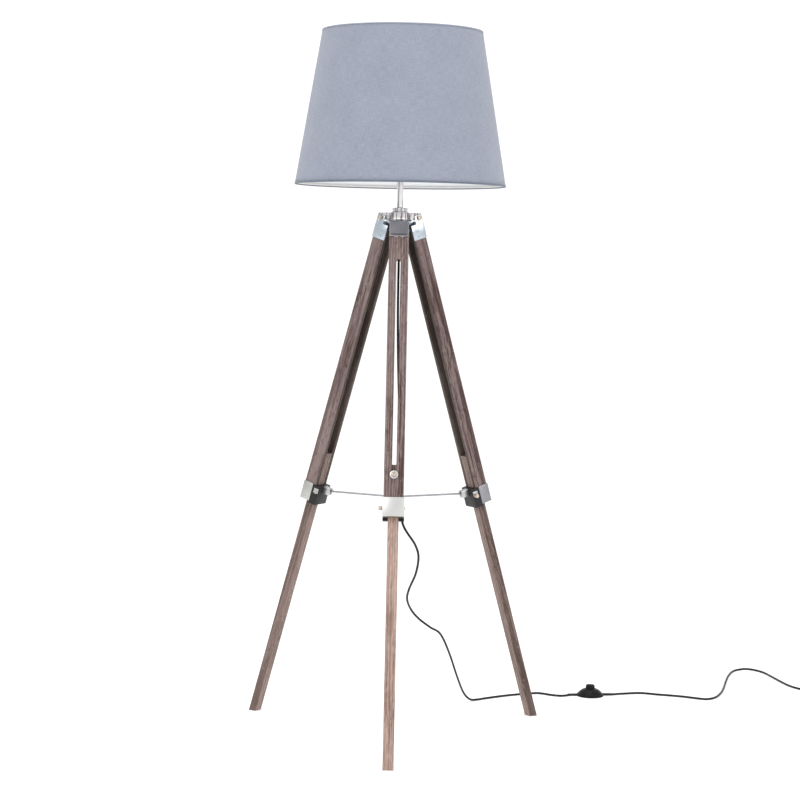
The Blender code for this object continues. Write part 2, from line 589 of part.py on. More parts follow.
def make_head():
    """The three-armed head with its hinge knuckles, the boss, the nut, the pole and the cord gland."""
    stand = axis_matrix()
    hole = POLE_RADIUS + BOLT_PLAY
    hex_hole = hole / math.cos(math.pi / 6)

    reach = HINGE_RADIUS + KNUCKLE_THICK / 2
    corner = KNUCKLE_HALF / math.tan(math.pi / 3)

    def plate(shape):
        outline = []
        for turn_deg in sorted(LEGS.values()):
            spin = stand @ Matrix.Rotation(math.radians(turn_deg), 4, "Z")
            for x, out in ((-KNUCKLE_HALF, reach), (KNUCKLE_HALF, reach), (KNUCKLE_HALF, corner)):
                spot = spin @ Vector((x, -out + (KNUCKLE_PROUD if out == reach else 0), 0))
                outline.append((spot.x, spot.y))
        add_prism(shape, outline, HEAD_BOTTOM, HEAD_TOP, Matrix.Identity(4))

    def pole_hole(shape):
        ends = (HEAD_BOTTOM - HEAD_THICK, HEAD_TOP + HEAD_THICK)
        add_turned(shape, ((0, ends[0]), (hole, ends[0]), (hole, ends[1]), (0, ends[1])), stand)

    def knuckle(spin):
        def fill(shape):
            low, high = HINGE_Z - KNUCKLE_DROP, HEAD_TOP - GAP
            box = bmesh.ops.create_cube(shape, size=1.0)["verts"]
            size = Matrix.Diagonal((2 * KNUCKLE_HALF - GAP, KNUCKLE_THICK, high - low, 1.0))
            centre = Matrix.Translation((0, -HINGE_RADIUS, (high + low) / 2))
            bmesh.ops.transform(shape, verts=box, matrix=stand @ spin @ centre @ size)
        return fill

    def slit(spin):
        def fill(shape):
            low, high = HINGE_Z - HEAD_THICK, HEAD_TOP + HEAD_THICK
            box = bmesh.ops.create_cube(shape, size=1.0)["verts"]
            size = Matrix.Diagonal((KNUCKLE_SLIT, 2 * KNUCKLE_SLIT_DEEP, high - low, 1.0))
            centre = Matrix.Translation((KNUCKLE_SLIT_AT, -reach, (high + low) / 2))
            bmesh.ops.transform(shape, verts=box, matrix=stand @ spin @ centre @ size)
        return fill

    def pin_hole(spin):
        def fill(shape):
            radius = HINGE_BOLT_RADIUS + BOLT_PLAY
            outline = ((0, -LEG_WIDTH), (radius, -LEG_WIDTH), (radius, LEG_WIDTH), (0, LEG_WIDTH))
            turn = Matrix.Translation((0, -HINGE_RADIUS, HINGE_Z)) @ Matrix.Rotation(math.pi / 2, 4, "Y")
            add_turned(shape, outline, stand @ spin @ turn, 24)
        return fill

    head = piece("head_plate", "chrome", plate)
    cut(head, "cut_pole_hole", pole_hole)
    for side, turn_deg in LEGS.items():
        spin = Matrix.Rotation(math.radians(turn_deg), 4, "Z")
        joined = piece(f"add_knuckle_{side}", "steel", knuckle(spin))
        joined.hide_render = True
        joined.display_type = "WIRE"
        modifier = head.modifiers.new(joined.name, "BOOLEAN")
        modifier.operation = "UNION"
        modifier.object = joined
        cut(head, f"cut_knuckle_hole_{side}", pin_hole(spin))
        cut(head, f"cut_knuckle_slit_{side}", slit(spin))

    def boss(shape):
        top = HEAD_BOTTOM - GAP
        bottom = top - BOSS_DEEP
        outline = ((hex_hole, bottom), (BOSS_RADIUS - 2 * EDGE_ROUND, bottom),
                   (BOSS_RADIUS, bottom + 2 * EDGE_ROUND), (BOSS_RADIUS, top), (hex_hole, top))
        add_turned(shape, outline, stand, 6)

    def nut(shape):
        low = HEAD_TOP + GAP
        outline = ((hex_hole, low), (NUT_RADIUS, low), (NUT_RADIUS, low + NUT_THICK),
                   (hex_hole, low + NUT_THICK))
        add_turned(shape, outline, stand, 6)

    def tube(shape):
        bottom = HEAD_BOTTOM - BOSS_DEEP
        inner = POLE_RADIUS - POLE_WALL
        outline = ((inner, bottom), (POLE_RADIUS, bottom), (POLE_RADIUS, POLE_TOP), (inner, POLE_TOP))
        add_turned(shape, outline, stand)

    def gland(shape):
        top = HEAD_BOTTOM - GAP - BOSS_DEEP - GAP
        inner = CORD_RADIUS + GAP
        outline = ((inner, top - GLAND_DEEP), (GLAND_RADIUS - EDGE_ROUND, top - GLAND_DEEP),
                   (GLAND_RADIUS, top - GLAND_DEEP + EDGE_ROUND), (GLAND_RADIUS, top), (inner, top))
        add_turned(shape, outline, stand)

    piece("head_boss", "satin", boss)
    piece("head_nut", "satin", nut)
    piece("pole", "chrome", tube, smooth=True)
    piece("cord_gland", "black", gland, smooth=True)


def make_hub():
    """The spreader's hub on the lamp's axis."""
    def disc(shape):
        low, high = HUB_Z - HUB_THICK / 2, HUB_Z + HUB_THICK / 2
        ease = EDGE_ROUND
        outline = ((0, low), (HUB_RADIUS - ease, low), (HUB_RADIUS, low + ease),
                   (HUB_RADIUS, high - ease), (HUB_RADIUS - ease, high), (0, high))
        add_turned(shape, outline, axis_matrix())

    piece("spreader_hub", "steel", disc, smooth=True)


def cone_wall(outside, thick, low, high):
    """Return the section of a cone wall whose outside lies a distance inside the shade's own outside."""
    slope = (SHADE_BOTTOM_RADIUS - SHADE_TOP_RADIUS) / SHADE_HEIGHT

    def radius(height):
        return SHADE_BOTTOM_RADIUS - (height - SHADE_BOTTOM) * slope - outside

    return ((radius(low) - thick, low), (radius(low), low), (radius(high), high), (radius(high) - thick, high))


def wire_outline(radius, height):
    """Return a round wire's section."""
    points = []
    for step in range(WIRE_SIDES):
        angle = 2 * math.pi * step / WIRE_SIDES
        points.append((radius + WIRE_RADIUS * math.cos(angle), height + WIRE_RADIUS * math.sin(angle)))
    return points


def make_shade():
    """The fabric, its liner, the two wire rings and the drop spider that hangs the shade."""
    stand = axis_matrix()
    inside = FABRIC_THICK + GAP + LINER_THICK + GAP
    slope = (SHADE_BOTTOM_RADIUS - SHADE_TOP_RADIUS) / SHADE_HEIGHT
    low_z = SHADE_BOTTOM + 2 * WIRE_RADIUS
    high_z = HEIGHT - 2 * WIRE_RADIUS
    wall = inside + WIRE_RADIUS + WIRE_CLEAR
    low_radius = SHADE_BOTTOM_RADIUS - (low_z - SHADE_BOTTOM) * slope - wall
    high_radius = SHADE_BOTTOM_RADIUS - (high_z - SHADE_BOTTOM) * slope - wall

    def fabric(shape):
        add_turned(shape, cone_wall(0, FABRIC_THICK, SHADE_BOTTOM, HEIGHT), stand, SHADE_SEGMENTS)

    def liner(shape):
        section = cone_wall(FABRIC_THICK + GAP, LINER_THICK, SHADE_BOTTOM, HEIGHT)
        add_turned(shape, section, stand, SHADE_SEGMENTS)

    def top_wire(shape):
        add_turned(shape, wire_outline(high_radius, high_z), stand, SHADE_SEGMENTS)

    def bottom_wire(shape):
        add_turned(shape, wire_outline(low_radius, low_z), stand, SHADE_SEGMENTS)

    def ring(shape):
        outline = ((SPIDER_RING_IN, SPIDER_Z), (SPIDER_RING_OUT, SPIDER_Z),
                   (SPIDER_RING_OUT, SPIDER_Z + SPIDER_THICK), (SPIDER_RING_IN, SPIDER_Z + SPIDER_THICK))
        add_turned(shape, outline, stand)

    def arm(spin):
        def fill(shape):
            reach = high_radius - WIRE_RADIUS - GAP
            start = SPIDER_RING_OUT - SPIDER_LAP
            low, high = SPIDER_Z + SPIDER_PROUD, high_z - SPIDER_THICK
            thick = SPIDER_THICK
            outline = ((start, low), (start + SPIDER_FOOT, low), (reach, high), (reach, high + thick),
                       (reach - SPIDER_TOE, high + thick), (start + SPIDER_HEEL, low + thick),
                       (start, low + thick))
            half = SPIDER_ARM_WIDTH / 2
            turn = Matrix(((1, 0, 0, 0), (0, 0, 1, 0), (0, 1, 0, 0), (0, 0, 0, 1)))
            add_prism(shape, outline, -half, half, stand @ spin @ turn)
        return fill

    piece("shade_fabric", "fabric", fabric, smooth=False)
    piece("shade_liner", "liner", liner, smooth=False)
    piece("shade_top_wire", "steel", top_wire, smooth=True)
    piece("shade_bottom_wire", "steel", bottom_wire, smooth=True)
    spider = piece("shade_spider", "steel", ring)
    for index in range(3):
        spin = Matrix.Rotation(math.radians(90 + 120 * index), 4, "Z")
        joined = piece(f"add_arm_{index}", "steel", arm(spin))
        joined.hide_render = True
        joined.display_type = "WIRE"
        modifier = spider.modifiers.new(joined.name, "BOOLEAN")
        modifier.operation = "UNION"
        modifier.object = joined


def make_lampholder():
    """The lampholder on the pole, the ring that clamps the spider, and the bulb."""
    stand = axis_matrix()
    low = POLE_TOP + GAP
    top = low + HOLDER_HEIGHT
    wall = HOLDER_WALL
    inner = HOLDER_RADIUS - wall
    spider_low = SPIDER_Z - GAP
    spider_top = SPIDER_Z + SPIDER_THICK + GAP

    def shell(shape):
        shoulder = spider_low - HOLDER_SHOULDER
        rim = top + HOLDER_LIP
        outline = ((0, low), (POLE_RADIUS + wall, low), (HOLDER_RADIUS, low + HOLDER_TAPER),
                   (HOLDER_RADIUS, shoulder), (HOLDER_FLANGE, spider_low - wall), (HOLDER_FLANGE, spider_low),
                   (HOLDER_RADIUS, spider_low), (HOLDER_RADIUS, rim), (inner, rim),
                   (inner, low + HOLDER_FLOOR), (0, low + HOLDER_FLOOR))
        add_turned(shape, outline, stand)

    def ring(shape):
        hole = HOLDER_RADIUS + GAP
        outline = ((hole, spider_top), (HOLDER_FLANGE, spider_top),
                   (HOLDER_FLANGE, spider_top + SHADE_RING_HIGH), (hole, spider_top + SHADE_RING_HIGH))
        add_turned(shape, outline, stand)

    cap_low = low + HOLDER_FLOOR + GAP
    cap_top = cap_low + BULB_CAP_LONG

    def cap(shape):
        outline = ((0, cap_low), (BULB_CAP_RADIUS / 2, cap_low), (BULB_CAP_RADIUS, cap_low + BULB_CAP_TAPER),
                   (BULB_CAP_RADIUS, cap_top), (0, cap_top))
        add_turned(shape, outline, stand)

    def glass(shape):
        neck = cap_top + GAP
        centre = neck + BULB_LONG - BULB_RADIUS
        outline = [(0, neck), (BULB_NECK, neck)]
        for step in range(BULB_STEPS):
            angle = math.radians(BULB_NECK_DEG + (90 - BULB_NECK_DEG) * step / BULB_STEPS)
            outline.append((BULB_RADIUS * math.cos(angle), centre + BULB_RADIUS * math.sin(angle)))
        outline.append((0, centre + BULB_RADIUS))
        add_turned(shape, outline, stand)

    piece("lampholder", "holder", shell, smooth=True)
    piece("shade_ring", "holder", ring, smooth=True)
    piece("bulb_cap", "steel", cap, smooth=True)
    piece("bulb_glass", "glass", glass, smooth=True)


def smooth_curve(points, steps):
    """Return points on a Catmull-Rom curve that passes through every given point."""
    ends = [points[0] * 2 - points[1], *points, points[-1] * 2 - points[-2]]
    curve = []
    for i in range(1, len(ends) - 2):
        a, b, c, d = ends[i - 1:i + 3]
        for step in range(steps):
            t = step / steps
            curve.append((b * 2 + (c - a) * t + (a * 2 - b * 5 + c * 4 - d) * t * t
                          + (b * 3 - a - c * 3 + d) * t * t * t) / 2)
    curve.append(points[-1])
    return curve


def spread_points(points, count):
    """Return a number of points at even steps along a curve."""
    lengths = [0.0]
    for here, there in zip(points, points[1:]):
        lengths.append(lengths[-1] + (there - here).length)
    spread = []
    index = 0
    for step in range(count):
        target = lengths[-1] * step / (count - 1)
        while index < len(points) - 2 and lengths[index + 1] < target:
            index += 1
        part = (target - lengths[index]) / (lengths[index + 1] - lengths[index])
        spread.append(points[index].lerp(points[index + 1], part))
    return spread


def square_end(points, tangent):
    """Pull the last point back from a joint in the cord and leave that end square to the cord."""
    return [*points[:-1], points[-1] - tangent * SPLIT_STUB, points[-1] - tangent * GAP / 2]


def square_start(points, tangent):
    """Pull the first point back from a joint in the cord and leave that end square to the cord."""
    return square_end(points[::-1], -tangent)[::-1]


def make_tube(name, points):
    """Make a cord tube through the points."""
    curve = bpy.data.curves.new(name, "CURVE")
    curve.dimensions = "3D"
    curve.bevel_depth = CORD_RADIUS
    curve.bevel_resolution = 2
    curve.use_fill_caps = True
    spline = curve.splines.new("POLY")
    spline.points.add(len(points) - 1)
    for target, point in zip(spline.points, points):
        target.co = (*point, 1.0)
    obj = bpy.data.objects.new(name, curve)
    return place(obj, name, "cord", None, False)


def switch_port(side, lead):
    """Return a point on the switch's rim where a cord enters (side -1) or leaves (side 1), plus a lead."""
    angle = math.radians(SWITCH_TURN_DEG)
    reach = side * (SWITCH_RADIUS + GAP + lead)
    height = PORT_HEIGHT if lead == 0 else CORD_RADIUS + GAP
    return Vector((SWITCH_AT[0] + reach * math.cos(angle), SWITCH_AT[1] + reach * math.sin(angle), height))


def coil_entry(lead):
    """Return a point outside the coil where the cord reaches it, plus a lead."""
    angle = math.radians(COIL_ENTRY_DEG)
    reach = COIL_MID_RADIUS + COIL_WIDE / 2 + GAP + lead
    x, y = COIL_AT[0] + reach * math.cos(angle), COIL_AT[1] + reach * math.sin(angle)
    return Vector((x, y, CORD_RADIUS + GAP))


def make_cord(front_frame):
    """The cord from the gland to the plug, in the stretches that stay with the head and with the front leg."""
    bpy.context.view_layer.update()
    stand = axis_matrix()
    head = [stand @ Vector(point) for point in HEAD_ROUTE]
    leg = [front_frame.matrix_world @ Vector((x, -depth, -down)) for x, depth, down in LEG_ROUTE]
    hang = [stand @ Vector(point) for point in HANG_ROUTE]
    hang += [stand @ switch_port(-1, PORT_LEAD), stand @ switch_port(-1, 0)]
    tail = [stand @ switch_port(1, 0), stand @ switch_port(1, PORT_LEAD)]
    tail += [stand @ Vector(point) for point in TAIL_ROUTE]
    tail += [stand @ coil_entry(PORT_LEAD), stand @ coil_entry(0)]
    whole = smooth_curve(head + leg + hang, CORD_STEPS)
    head_end = (len(head) - 1) * CORD_STEPS
    leg_end = (len(head) + len(leg) - 1) * CORD_STEPS
    at_head = (whole[head_end + 1] - whole[head_end - 1]).normalized()
    at_leg = (whole[leg_end + 1] - whole[leg_end - 1]).normalized()
    head_run = spread_points(whole[:head_end + 1], HEAD_POINTS)
    leg_run = spread_points(whole[head_end:leg_end + 1], LEG_POINTS)
    hang_run = spread_points(whole[leg_end:], HANG_POINTS)
    make_tube("cord_head_run", square_end(head_run, at_head))
    make_tube("cord_leg_run", square_start(square_end(leg_run, at_leg), at_head))
    at_switch = (hang[-1] - hang[-2]).normalized()
    out_of_switch = (tail[1] - tail[0]).normalized()
    at_coil = (tail[-1] - tail[-2]).normalized()
    make_tube("cord_hang", square_start(square_end(hang_run, at_switch), at_leg))
    tail_run = spread_points(smooth_curve(tail, CORD_STEPS), TAIL_POINTS)
    make_tube("cord_tail", square_start(square_end(tail_run, at_coil), out_of_switch))

    def coil(shape):
        low = GAP
        inner, outer = COIL_MID_RADIUS - COIL_WIDE / 2, COIL_MID_RADIUS + COIL_WIDE / 2
        outline = ((inner, low), (outer, low), (outer, low + COIL_HIGH), (inner, low + COIL_HIGH))
        add_turned(shape, outline, stand @ Matrix.Translation((*COIL_AT, 0)))

    piece("cord_coil", "cord", coil)


def make_switch():
    """The round footswitch: a domed body with a well, and the button that travels in it."""
    turn = axis_matrix() @ Matrix.Translation((*SWITCH_AT, 0))

    def body(shape):
        outline = [(0, 0), (SWITCH_RADIUS - EDGE_ROUND, 0), (SWITCH_RADIUS, EDGE_ROUND),
                   (SWITCH_RADIUS, SWITCH_RIM)]
        for step in range(1, SWITCH_STEPS + 1):
            part = step / SWITCH_STEPS
            radius = SWITCH_RADIUS + (SWITCH_HOLE + EDGE_ROUND - SWITCH_RADIUS) * part
            height = SWITCH_RIM + (SWITCH_HEIGHT - SWITCH_RIM) * math.sin(part * math.pi / 2)
            outline.append((radius, height))
        outline += [(SWITCH_HOLE, SWITCH_HEIGHT - EDGE_ROUND), (SWITCH_HOLE, SWITCH_FLOOR), (0, SWITCH_FLOOR)]
        add_turned(shape, outline, turn, 40)

    def button(shape):
        low = BUTTON_LOW
        outline = ((0, low), (BUTTON_RADIUS, low), (BUTTON_RADIUS, BUTTON_TOP - BUTTON_SHOULDER),
                   (BUTTON_RADIUS - BUTTON_ROUND, BUTTON_TOP - EDGE_ROUND),
                   (BUTTON_RADIUS - BUTTON_FLAT, BUTTON_TOP), (0, BUTTON_TOP))
        add_turned(shape, outline, turn, 32)

    piece("switch_body", "black", body, smooth=True)
    piece("switch_button", "black", button, smooth=True)


def make_plug():
    """A plain two-pin plug on the floor beside the coil, in line with its top, in one piece with its pins."""
    outer = COIL_MID_RADIUS + COIL_WIDE / 2 + GAP
    nearest = COIL_MID_RADIUS - PLUG_WIDE / 2
    x = COIL_AT[0] + math.sqrt(outer ** 2 - nearest ** 2) + PLUG_LONG / 2
    turn = axis_matrix() @ Matrix.Translation((x, COIL_AT[1] + COIL_MID_RADIUS, 0))

    def body(shape):
        back, front = -PLUG_LONG / 2, PLUG_LONG / 2
        half, neck = PLUG_WIDE / 2, PLUG_NECK / 2
        shoulder = back + PLUG_TAPER
        outline = ((back, -neck), (back, neck), (shoulder, half), (front, half), (front, -half),
                   (shoulder, -half))
        add_prism(shape, outline, GAP, PLUG_HIGH, turn)

    def pin(side):
        def fill(shape):
            foot = Matrix.Translation((PLUG_LONG / 2 - PIN_RADIUS, side * PIN_APART / 2, PLUG_HIGH / 2))
            lie = foot @ Matrix.Rotation(math.pi / 2, 4, "Y")
            reach = PIN_LONG + PIN_RADIUS
            add_turned(shape, ((0, 0), (PIN_RADIUS, 0), (PIN_RADIUS, reach), (0, reach)), turn @ lie, 16)
        return fill

    plug = piece("plug", "black", body)
    for index, side in enumerate((-1, 1)):
        joined = piece(f"add_pin_{index}", "steel", pin(side))
        joined.hide_render = True
        joined.display_type = "WIRE"
        modifier = plug.modifiers.new(joined.name, "BOOLEAN")
        modifier.operation = "UNION"
        modifier.object = joined


def main():
    """Clear the scene and build the lamp."""
    for obj in list(bpy.data.objects):
        bpy.data.objects.remove(obj, do_unlink=True)
    frames = {side: make_leg(side, turn_deg) for side, turn_deg in LEGS.items()}
    make_head()
    make_hub()
    make_shade()
    make_lampholder()
    make_cord(frames["front"])
    make_switch()
    make_plug()
    bpy.context.view_layer.update()


main()
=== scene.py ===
"""Finished looks for a tripod floor lamp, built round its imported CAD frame.

Every piece is made in the frame's own metres, rides one of its bodies and takes its size from the CAD nodes.
A leg piece is drawn in its leg's frame (X along the hinge, Y towards the lamp's axis, Z up the leg) and then
moved into place in its mesh. The shaders read Object coordinates, UV maps or the attributes set here.
"""

import logging
import math
from dataclasses import dataclass, field
from enum import Enum

import bmesh
import bpy
from mathutils import Matrix, Vector


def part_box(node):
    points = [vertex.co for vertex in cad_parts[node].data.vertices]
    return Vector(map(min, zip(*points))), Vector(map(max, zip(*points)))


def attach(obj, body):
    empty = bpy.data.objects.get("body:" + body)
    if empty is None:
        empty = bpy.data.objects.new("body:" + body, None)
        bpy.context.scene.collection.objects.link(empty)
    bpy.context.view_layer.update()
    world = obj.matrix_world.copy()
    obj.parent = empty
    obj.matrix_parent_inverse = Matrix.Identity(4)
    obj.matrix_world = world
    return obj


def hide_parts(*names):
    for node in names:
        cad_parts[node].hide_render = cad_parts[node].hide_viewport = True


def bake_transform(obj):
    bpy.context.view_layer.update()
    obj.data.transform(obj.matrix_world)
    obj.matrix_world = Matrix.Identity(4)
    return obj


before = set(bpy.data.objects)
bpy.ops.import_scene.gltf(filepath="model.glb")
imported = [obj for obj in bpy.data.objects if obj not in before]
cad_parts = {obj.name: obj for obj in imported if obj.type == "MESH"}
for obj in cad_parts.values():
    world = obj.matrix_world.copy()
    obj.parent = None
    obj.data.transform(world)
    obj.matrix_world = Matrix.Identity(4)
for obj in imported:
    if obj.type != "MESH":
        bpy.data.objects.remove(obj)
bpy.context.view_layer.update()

LOG = logging.getLogger("lamp")
Point = tuple[float, float]
IDENTITY = Matrix.Identity(4)

# The camera
LENS_MM = 95.68
SENSOR_MM = 36.0
CAMERA_AT = (0.0678, -4.4766, 1.0202)
CAMERA_HEADING_DEG = 0.765
CAMERA_PITCH_DEG = 3.819
CAMERA_ROLL_DEG = 0.957

CORD_DIAMETER = 0.0050

# The cord's route, near the CAD's: measured from the lamp's axis, or in the front leg's frame.
HEAD_ROUTE = ((0, 0, 1.0900), (0, 0, 1.0800), (0, -0.0030, 1.0690), (0, -0.0105, 1.0570),
              (0, -0.0200, 1.0460), (0, -0.0275, 1.0335), (0, -0.0325, 1.0200))
LEG_ROUTE = ((0, -0.0288, 0.1080), (0, -0.0288, 0.1484),
             (0.0010, -0.0288, 0.2284), (0.0040, -0.0290, 0.3284), (0.0090, -0.0300, 0.4384),
             (0.0135, -0.0335, 0.5384), (0.0158, -0.0388, 0.5984), (0.0162, -0.0392, 0.6334),
             (0.0205, -0.0405, 0.6534), (0.0290, -0.0425, 0.6684))
HANG_ROUTE = ((0.0455, -0.1700, 0.4280), (0.0530, -0.1500, 0.4000), (0.0480, -0.1150, 0.3600),
              (0.0340, -0.0750, 0.3200), (0.0300, -0.0400, 0.2920), (0.0390, 0.0050, 0.2620),
              (0.0565, 0.0400, 0.2365), (0.0805, 0.0720, 0.2135), (0.1035, 0.1080, 0.1925),
              (0.1240, 0.1600, 0.1420), (0.1430, 0.2250, 0.0780), (0.1600, 0.2850, 0.0270),
              (0.1760, 0.3100, 0.0060), (0.1930, 0.3240, 0.0028), (0.2110, 0.3390, 0.0027),
              (0.2650, 0.3780, 0.0027), (0.3270, 0.4090, 0.0027), (0.3480, 0.4070, 0.0027),
              (0.3680, 0.3930, 0.0027), (0.3920, 0.3850, 0.0027))
TAIL_ROUTE = ((0.5400, 0.4240), (0.5820, 0.4350), (0.6200, 0.4220), (0.6510, 0.4130), (0.6810, 0.4020),
              (0.7100, 0.3860), (0.7300, 0.3790), (0.7490, 0.3930), (0.7660, 0.4280), (0.7840, 0.4900),
              (0.8070, 0.6000), (0.8240, 0.6740), (0.8460, 0.7340), (0.8810, 0.7600), (0.9130, 0.7260),
              (0.9300, 0.6600), (0.9430, 0.5980), (0.9570, 0.5490), (0.9780, 0.5160), (1.0100, 0.4960))
FLOOR_LIE = 0.0027
SWITCH_TURN_DEG = 8.0
SWITCH_AXIS = (0.4605, 0.4040)
PORT_HEIGHT = 0.0032
PORT_LEAD = 0.0150
PORT_REACH = 0.0318
CORD_LIFT = 0.0003


class Surface(Enum):
    """The kinds of surface that the lamp's materials are made of."""

    METAL = "metal"
    MOULDED = "moulded"
    WOOD = "wood"
    FABRIC = "fabric"
    GLASS = "glass"


@dataclass(frozen=True)
class Finish:
    """How one material looks.

    Args:
        name: the material's name.
        surface: the kind of surface.
        colour: its main colour, linear RGB.
        second: the colour that wear, grain or yarn brings in, linear RGB; on metal, also its painted grazing shade.
        roughness: its middle roughness.
        bump: the depth of its relief, in metres.
        coat: how much clear coat lies over it.
        shine: its specular level, for a surface that isn't metal.
        bands: how much polished metal shows upright dark and bright bands, a painted reflection of the room round it.
    """

    name: str
    surface: Surface
    colour: tuple[float, float, float]
    second: tuple[float, float, float]
    roughness: float
    bump: float = 0.0
    coat: float = 0.0
    shine: float = 0.5
    bands: float = 0.0


CHROME = Finish("blued_chrome", Surface.METAL, (0.500, 0.560, 0.620), (0.300, 0.330, 0.360), 0.20, 0.00004)
POLISHED = Finish("polished_chrome", Surface.METAL, (0.800, 0.775, 0.795), (0.300, 0.290, 0.310), 0.14, 0.00003,
                  bands=0.85)
SATIN = Finish("satin_nickel", Surface.METAL, (0.720, 0.720, 0.705), (0.420, 0.420, 0.410), 0.30, 0.00004)
STEEL = Finish("bright_steel", Surface.METAL, (0.500, 0.500, 0.505), (0.280, 0.280, 0.285), 0.32, 0.00004)
DIM_STEEL = Finish("dim_steel", Surface.METAL, (0.290, 0.282, 0.305), (0.190, 0.185, 0.200), 0.34, 0.00004)
# A darker grey copy of the bracket's chrome for the front leg: painted reflection.
REFLECTION_GREY_PLATE = Finish("painted_reflection_plate", Surface.METAL, (0.200, 0.196, 0.214), (0.430, 0.440, 0.465), 0.36, 0.00005)
BRASS = Finish("pale_brass", Surface.METAL, (0.600, 0.500, 0.410), (0.150, 0.110, 0.085), 0.27, 0.00004)
WIRE = Finish("white_wire", Surface.MOULDED, (0.700, 0.690, 0.660), (0.520, 0.510, 0.490), 0.40, 0.00003)
HOLDER = Finish("white_holder", Surface.MOULDED, (0.780, 0.770, 0.740), (0.600, 0.590, 0.560), 0.35, 0.00002)
BLACK = Finish("black_nylon", Surface.MOULDED, (0.013, 0.013, 0.014), (0.035, 0.035, 0.036), 0.45, 0.00004, shine=0.30)
GLOSS = Finish("gloss_black", Surface.MOULDED, (0.007, 0.007, 0.008), (0.022, 0.022, 0.024), 0.30, 0.00001,
               shine=0.12)
CORD = Finish("black_cord", Surface.MOULDED, (0.010, 0.010, 0.011), (0.030, 0.030, 0.031), 0.42, 0.00003, shine=0.22)
UPPER = Finish("weathered_wood", Surface.WOOD, (0.205, 0.152, 0.143), (0.056, 0.027, 0.024), 0.74, 0.00028)
LOWER = Finish("limed_wood", Surface.WOOD, (0.395, 0.278, 0.235), (0.190, 0.118, 0.095), 0.66, 0.00018)
# Darker wood for the upper legs' channel and inward faces: painted shade, with less weathered wood.
BARE_AND_SHADED = Finish("groove_shade_wood", Surface.WOOD, (0.105, 0.078, 0.066), (0.044, 0.030, 0.024), 0.78, 0.00022)
# A darker copy of the front bar's wood for the side legs' bars: painted shade.
SHADED = Finish("shaded_side_wood", Surface.WOOD, (0.190, 0.135, 0.118), (0.072, 0.043, 0.036), 0.70, 0.00020)
# The bars' inward faces in a tone of their own: painted light and shade.
PALE = Finish("inner_face_shade_wood", Surface.WOOD, (0.270, 0.200, 0.174), (0.120, 0.078, 0.064), 0.70, 0.00018)
# A darker copy of the collar metal for the left leg's collar: painted shade.
SHADED_COLLAR_PLATE = Finish("shaded_collar_plate", Surface.METAL, (0.490, 0.490, 0.460), (0.310, 0.315, 0.290), 0.34, 0.00005)
CLOTH = Finish("shade_cloth", Surface.FABRIC, (0.303, 0.327, 0.392), (0.196, 0.216, 0.274), 0.92, 0.00012)
HEM = Finish("shade_hem", Surface.FABRIC, (0.150, 0.175, 0.225), (0.100, 0.120, 0.160), 0.85, 0.00010)
LINER = Finish("shade_liner", Surface.MOULDED, (0.920, 0.935, 0.950), (0.860, 0.875, 0.895), 0.60, 0.00003)
OPAL = Finish("opal_glass", Surface.GLASS, (0.860, 0.850, 0.820), (0.780, 0.770, 0.740), 0.12)


@dataclass
class Shader:
    """A thin hand on a node tree, so that a shader reads as a list of steps."""

    tree: bpy.types.NodeTree

    def node(self, kind: str, **settings) -> bpy.types.Node:
        """Add a node.

        Args:
            kind: the node's type name, without its ShaderNode prefix.
            settings: properties to set on it.

        Returns:
            The new node.
        """
        made = self.tree.nodes.new(f"ShaderNode{kind}")
        for key, value in settings.items():
            setattr(made, key, value)
        return made

    def feed(self, socket: bpy.types.NodeSocket, value) -> None:
        """Link an output into a socket, or set the socket to a constant."""
        if isinstance(value, bpy.types.NodeSocket):
            self.tree.links.new(value, socket)
        else:
            socket.default_value = value

    def math(self, operation: str, *values) -> bpy.types.NodeSocket:
        """Return the result of a Math node on up to three values."""
        made = self.node("Math", operation=operation)
        for socket, value in zip(made.inputs, values):
            self.feed(socket, value)
        return made.outputs[0]

    def times(self, first, second) -> bpy.types.NodeSocket:
        """Return the product of two values."""
        return self.math("MULTIPLY", first, second)

    def plus(self, first, second) -> bpy.types.NodeSocket:
        """Return the sum of two values."""
        return self.math("ADD", first, second)

    def mix(self, share, first, second) -> bpy.types.NodeSocket:
        """Return one colour mixed into another by a share."""
        made = self.node("Mix", data_type="RGBA")
        self.feed(made.inputs["Factor"], share)
        self.feed(made.inputs["A"], first)
        self.feed(made.inputs["B"], second)
        return made.outputs["Result"]

    def noise(self, vector, scale: float, detail: float = 4.0, rough: float = 0.55) -> bpy.types.NodeSocket:
        """Return a noise value at a scale, in features per metre."""
        made = self.node("TexNoise")
        self.feed(made.inputs["Vector"], vector)
        made.inputs["Scale"].default_value = scale
        made.inputs["Detail"].default_value = detail
        made.inputs["Roughness"].default_value = rough
        return made.outputs["Fac"]

    def ramp(self, value, low: float, high: float) -> bpy.types.NodeSocket:
        """Return a value stretched so that low becomes 0 and high becomes 1, kept between them."""
        made = self.node("MapRange", interpolation_type="SMOOTHSTEP")
        self.feed(made.inputs["Value"], value)
        made.inputs["From Min"].default_value = low
        made.inputs["From Max"].default_value = high
        return made.outputs["Result"]

    def stretch(self, vector, scale: tuple[float, float, float]) -> bpy.types.NodeSocket:
        """Return a vector scaled along its axes."""
        made = self.node("VectorMath", operation="MULTIPLY")
        self.feed(made.inputs[0], vector)
        made.inputs[1].default_value = scale
        return made.outputs[0]


def rgba(colour: tuple[float, float, float]) -> tuple[float, float, float, float]:
    """Return a colour with full alpha."""
    return (*colour, 1.0)


